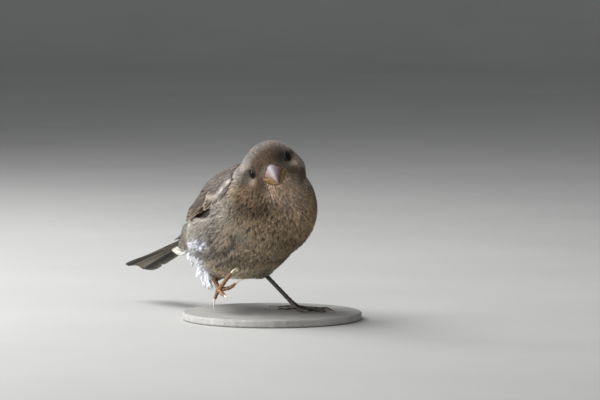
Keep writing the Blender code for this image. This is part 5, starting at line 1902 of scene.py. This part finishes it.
def toe_set(side):
    """Centre lines, radii and claws of one foot."""
    toes, claws = [], []
    if side == "left":
        root = vec(*TOES_L)
        for which, (deg, length, claw_len, r) in FLAT_TOES.items():
            hgt = r*1.12 + 0.06 - TOES_L[2]
            ctrl = [flat(deg, length*0.30, 0.55*hgt), flat(deg, length*0.62, hgt + 0.25), flat(deg, length, hgt)]
            toes.append((which, [root] + [root + c for c in ctrl], r*1.1, r*0.82, UPW))
            end = root + ctrl[-1]
            tip = 0.30 - end[2]
            claws.append((which, [end - flat(deg, 0.6), end + flat(deg, 0.5, 0.22),
                          end + flat(deg, claw_len*0.55, 0.38), end + flat(deg, claw_len*0.85, 0.02),
                          end + flat(deg, claw_len, tip)]))
    else:
        root = vec(*TOES_R)
        for which, (ctrl, hook) in RAISED.items():
            r = {"middle": 0.92, "outer": 0.84, "inner": 0.82, "hind": 0.90}[which]
            toes.append((which, [root] + [root + c for c in ctrl], r*1.1, r*0.82, -OUT if which == "hind" else RIGHT*0.2 - OUT + UPW*0.2))
            w = unit(ctrl[-1] - ctrl[-2])
            end = root + ctrl[-1]
            base = end + w*(r*0.86 + GAP)
            claws.append((which, [end - w*0.5, base] + [base + h for h in hook]))
    return root, toes, claws


def make_foot(side, ankle, mat):
    root, toes, claws = toe_set(side)
    way = unit(root - vec(*ankle))
    vs, qs, ts, off = [], [], [], 0
    lines = []
    for which, ctrl, r0, r1, dorsal in toes:
        n = 44
        p = catmull(ctrl, n)
        t = np.linspace(0, 1, n)
        joints = {"inner": 3, "middle": 4, "outer": 5, "hind": 2}[which]
        rad = (r0 + (r1 - r0)*t)*(1 + 0.06*np.cos(t*2*pi*joints))*(1 - 0.24*smoothstep(t, 0.86, 1.0))
        v, q4, t3 = tube_mesh(p, rad, 20, flat=0.94, up=dorsal)
        vs.append(v)
        qs.append(q4 + off)
        ts.append(t3 + off)
        off += len(v)
        lines.append((p, t, rad, dorsal, joints))
    bv, bq, bt = ball_grid(20, 14)
    for c, r in ((root, 1.30), (root - way*0.9, 1.12)):
        vs.append(bv*r + c)
        qs.append(bq + off)
        ts.append(bt + off)
        off += len(bv)
    o = mesh_object("foot_%s_scutes" % side, np.vstack(vs), [np.vstack(qs), np.vstack(ts)], True, mat)
    o = remeshed(o, 0.15, 2)
    p = coords(o)
    o.data.update()
    nrm = np.zeros(len(p)*3, np.float32)
    o.data.vertices.foreach_get("normal", nrm)
    nrm = nrm.reshape(-1, 3)
    best = np.full(len(p), 1e9)
    bt_, bj, bd = np.zeros(len(p)), np.zeros(len(p)), np.zeros(len(p))
    ln = np.ones(len(p))
    for line, t, rad, dorsal, joints in lines:
        tot = np.linalg.norm(np.diff(line, axis=0), axis=1).sum()
        d = np.linalg.norm(p[:, None] - line[None], axis=-1)
        i = d.argmin(1)
        dm = d.min(1) - rad[i]
        k = dm < best
        best = np.where(k, dm, best)
        bt_ = np.where(k, t[i] + 0*dm, bt_)
        tan = unit(np.gradient(line, axis=0))[i]
        dn = dorsal - tan*(tan @ dorsal)[:, None]
        bd = np.where(k, (nrm*unit(dn)).sum(-1), bd)
        # position along, more smoothly than the nearest sample
        x = t[i] + ((p - line[i])*tan).sum(-1)/tot
        bt_ = np.where(k, x, bt_)
        bj = np.where(k, joints, bj)
        ln = np.where(k, tot, ln)
    plates = saw(bt_*ln/0.95)
    topw = smoothstep(bd, -0.05, 0.55)
    pads = 0.5 + 0.5*np.cos(bt_*2*pi*bj)
    under = smoothstep(-bd, 0.1, 0.7)
    knob = 0.04*np.sin(p[:, 0]*11)*np.sin(p[:, 1]*11)*np.sin(p[:, 2]*11)
    away = smoothstep(np.linalg.norm(p - root, axis=1), 0.8, 1.8)
    disp = (0.10*plates*topw + 0.15*pads*under)*away + knob*under
    if side == "left":
        low = p[:, 2] < 0.35
        disp = np.where(low & (under > 0), np.minimum(disp, 0.03), disp)
    p = p + nrm*disp[:, None]
    if side == "left":
        p[:, 2] = np.maximum(p[:, 2], 0.02)
    set_coords(o, p)
    x = bt_*ln/0.95
    cr = np.exp(-((x - np.round(x))/0.10)**2)*topw
    tint = 1.02 - 0.34*cr*away - 0.16*under*(1 - pads)
    set_tint(o, np.ones((len(p), 3))*tint[:, None])
    o.data.materials.clear()
    o.data.materials.append(mat)
    o.data.shade_smooth()
    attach(o, "root")
    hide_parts("foot_" + side)
    for which, pts in claws:
        n = 26
        c = catmull(pts, n)
        t = np.linspace(0, 1, n)
        rad = CLAW_R*1.02*(1 - 0.90*t**1.25)
        v, q4, t3 = tube_mesh(c, rad, 16, flat=0.78, up=UPW if side == "left" else -OUT,
                              shape=lambda tt, ang: 1 - 0.12*smoothstep(-np.sin(ang), 0.6, 1.0))
        k = mesh_object("claw_%s_%s_horn" % (side, which), v, [q4, t3], True, MAT_CLAW)
        orient(k)
        d = np.linalg.norm(v[:, None] - c[None], axis=-1).argmin(1)/(n - 1)
        # painted light: the raised right foot's claws are painted near-white as a highlight; the standing left foot's
        # claws are dark
        root_c, tip_c = (srgb(84, 72, 64), srgb(46, 40, 37)) if side == "left" else (srgb(206, 194, 180), srgb(170, 160, 150))
        set_tint(k, mix(np.broadcast_to(root_c, v.shape), tip_c, smoothstep(d, 0.1, 0.9)))
        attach(k, "root")
        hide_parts("claw_%s_%s" % (side, which))
    return o


make_leg("left", ANKLE_L, TOES_L, MAT_LEG_L_PAINTED_SHADE)
make_leg("right", ANKLE_R, TOES_R, MAT_LEG_R_PAINTED_LIT)
make_foot("left", ANKLE_L, MAT_LEG_L_PAINTED_SHADE)
make_foot("right", ANKLE_R, MAT_LEG_R_PAINTED_LIT)


# ------------------------------------------------------------------ the stand
base = frame["nodes"]["stand_base"]
base.data.materials.clear()
base.data.materials.append(stand_material())


# ------------------------------------------------------ floor, light and camera
def floor():
    k = Nodes("studio_floor")
    col = k.ramp(k.noise(9, 3.0), [(0.3, (0.39, 0.39, 0.382)), (0.7, (0.42, 0.42, 0.412))])
    k.link(col, k.b.inputs["Base Color"])
    k.link(k.bump(k.noise(700, 3.0), 0.1, 0.0002), k.b.inputs["Normal"])
    k.set(Roughness=0.75, Specular_IOR_Level=0.3)
    a = radians(-34)
    away = vec(-sin(a), cos(a), 0)                       # from the camera's side to behind
    side = vec(cos(a), sin(a), 0)
    prof = [(-3.2, 0.0), (1.9, 0.0)]
    for i in range(1, 17):
        b = pi/2*i/16
        prof.append((1.9 + 0.8*sin(b), 0.8 - 0.8*cos(b)))
    prof.append((2.7, 3.4))
    v = []
    for d, h in prof:
        for w in (-4.2, 4.2):
            v.append(away*d + side*w + vec(0, 0, h - 0.0001))
    f = [(2*i, 2*i + 1, 2*i + 3, 2*i + 2) for i in range(len(prof) - 1)]
    me = bpy.data.meshes.new("floor")
    me.from_pydata([tuple(x) for x in v], [], f)
    me.materials.append(k.m)
    me.shade_smooth()
    o = bpy.data.objects.new("floor", me)
    COLL.objects.link(o)
    o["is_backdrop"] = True


floor()


def area(name, at, aim, size, watts, colour=(1, 1, 1)):
    li = bpy.data.lights.new(name, "AREA")
    li.shape = "DISK"
    li.size = size
    li.energy = watts
    li.color = colour
    o = bpy.data.objects.new(name, li)
    COLL.objects.link(o)
    o.location = Vector(at)
    o.rotation_mode = "QUATERNION"
    o.rotation_quaternion = (Vector(aim) - Vector(at)).to_track_quat("-Z", "Y")
    return o


az, el = radians(-34.0), radians(4.5)
BACK = vec(sin(az)*cos(el), -cos(az)*cos(el), sin(el))
SIDE = vec(cos(az), sin(az), 0)
AIM = (SIDE*19.6 + vec(0, 0, 44.6) + SHIFT)*MM
CENTRE = (vec(-2, 5, 36) + SHIFT)*MM
area("key", CENTRE + (-0.40*SIDE - 0.02*BACK + vec(0, 0, 0.58)), CENTRE, 0.60, 6.6, (1.0, 0.99, 0.975))
area("rim", CENTRE + (-0.46*SIDE - 0.46*BACK + vec(0, 0, 0.46)), CENTRE, 0.35, 3.6, (0.98, 0.99, 1.0))
area("fill", CENTRE + (-0.10*SIDE + 0.85*BACK + vec(0, 0, 0.24)), CENTRE, 0.7, 2.3, (1.0, 0.985, 0.96))

area("low", CENTRE + (-0.60*SIDE + 0.16*BACK + vec(0, 0, 0.005)), CENTRE, 0.16, 4.3, (0.97, 0.985, 1.0))

world = bpy.data.worlds.new("studio")
world.use_nodes = True
world.node_tree.nodes["Background"].inputs[0].default_value = (0.80, 0.82, 0.85, 1)
world.node_tree.nodes["Background"].inputs[1].default_value = 0.34
bpy.context.scene.world = world
bpy.context.scene.view_settings.view_transform = "Standard"

cam = bpy.data.cameras.new("camera")
cam.lens = 300
cam.sensor_width = 36
cam.clip_start, cam.clip_end = 0.05, 20
cam.dof.use_dof = False
co = bpy.data.objects.new("camera", cam)
COLL.objects.link(co)
co.location = Vector(AIM + BACK*2.0)
co.rotation_mode = "QUATERNION"
co.rotation_quaternion = Vector(BACK).to_track_quat("Z", "Y")
bpy.context.scene.camera = co

bpy.context.view_layer.update()
total = sum(tri_count(o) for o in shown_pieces() if o.type == "MESH")
print("triangles", total)
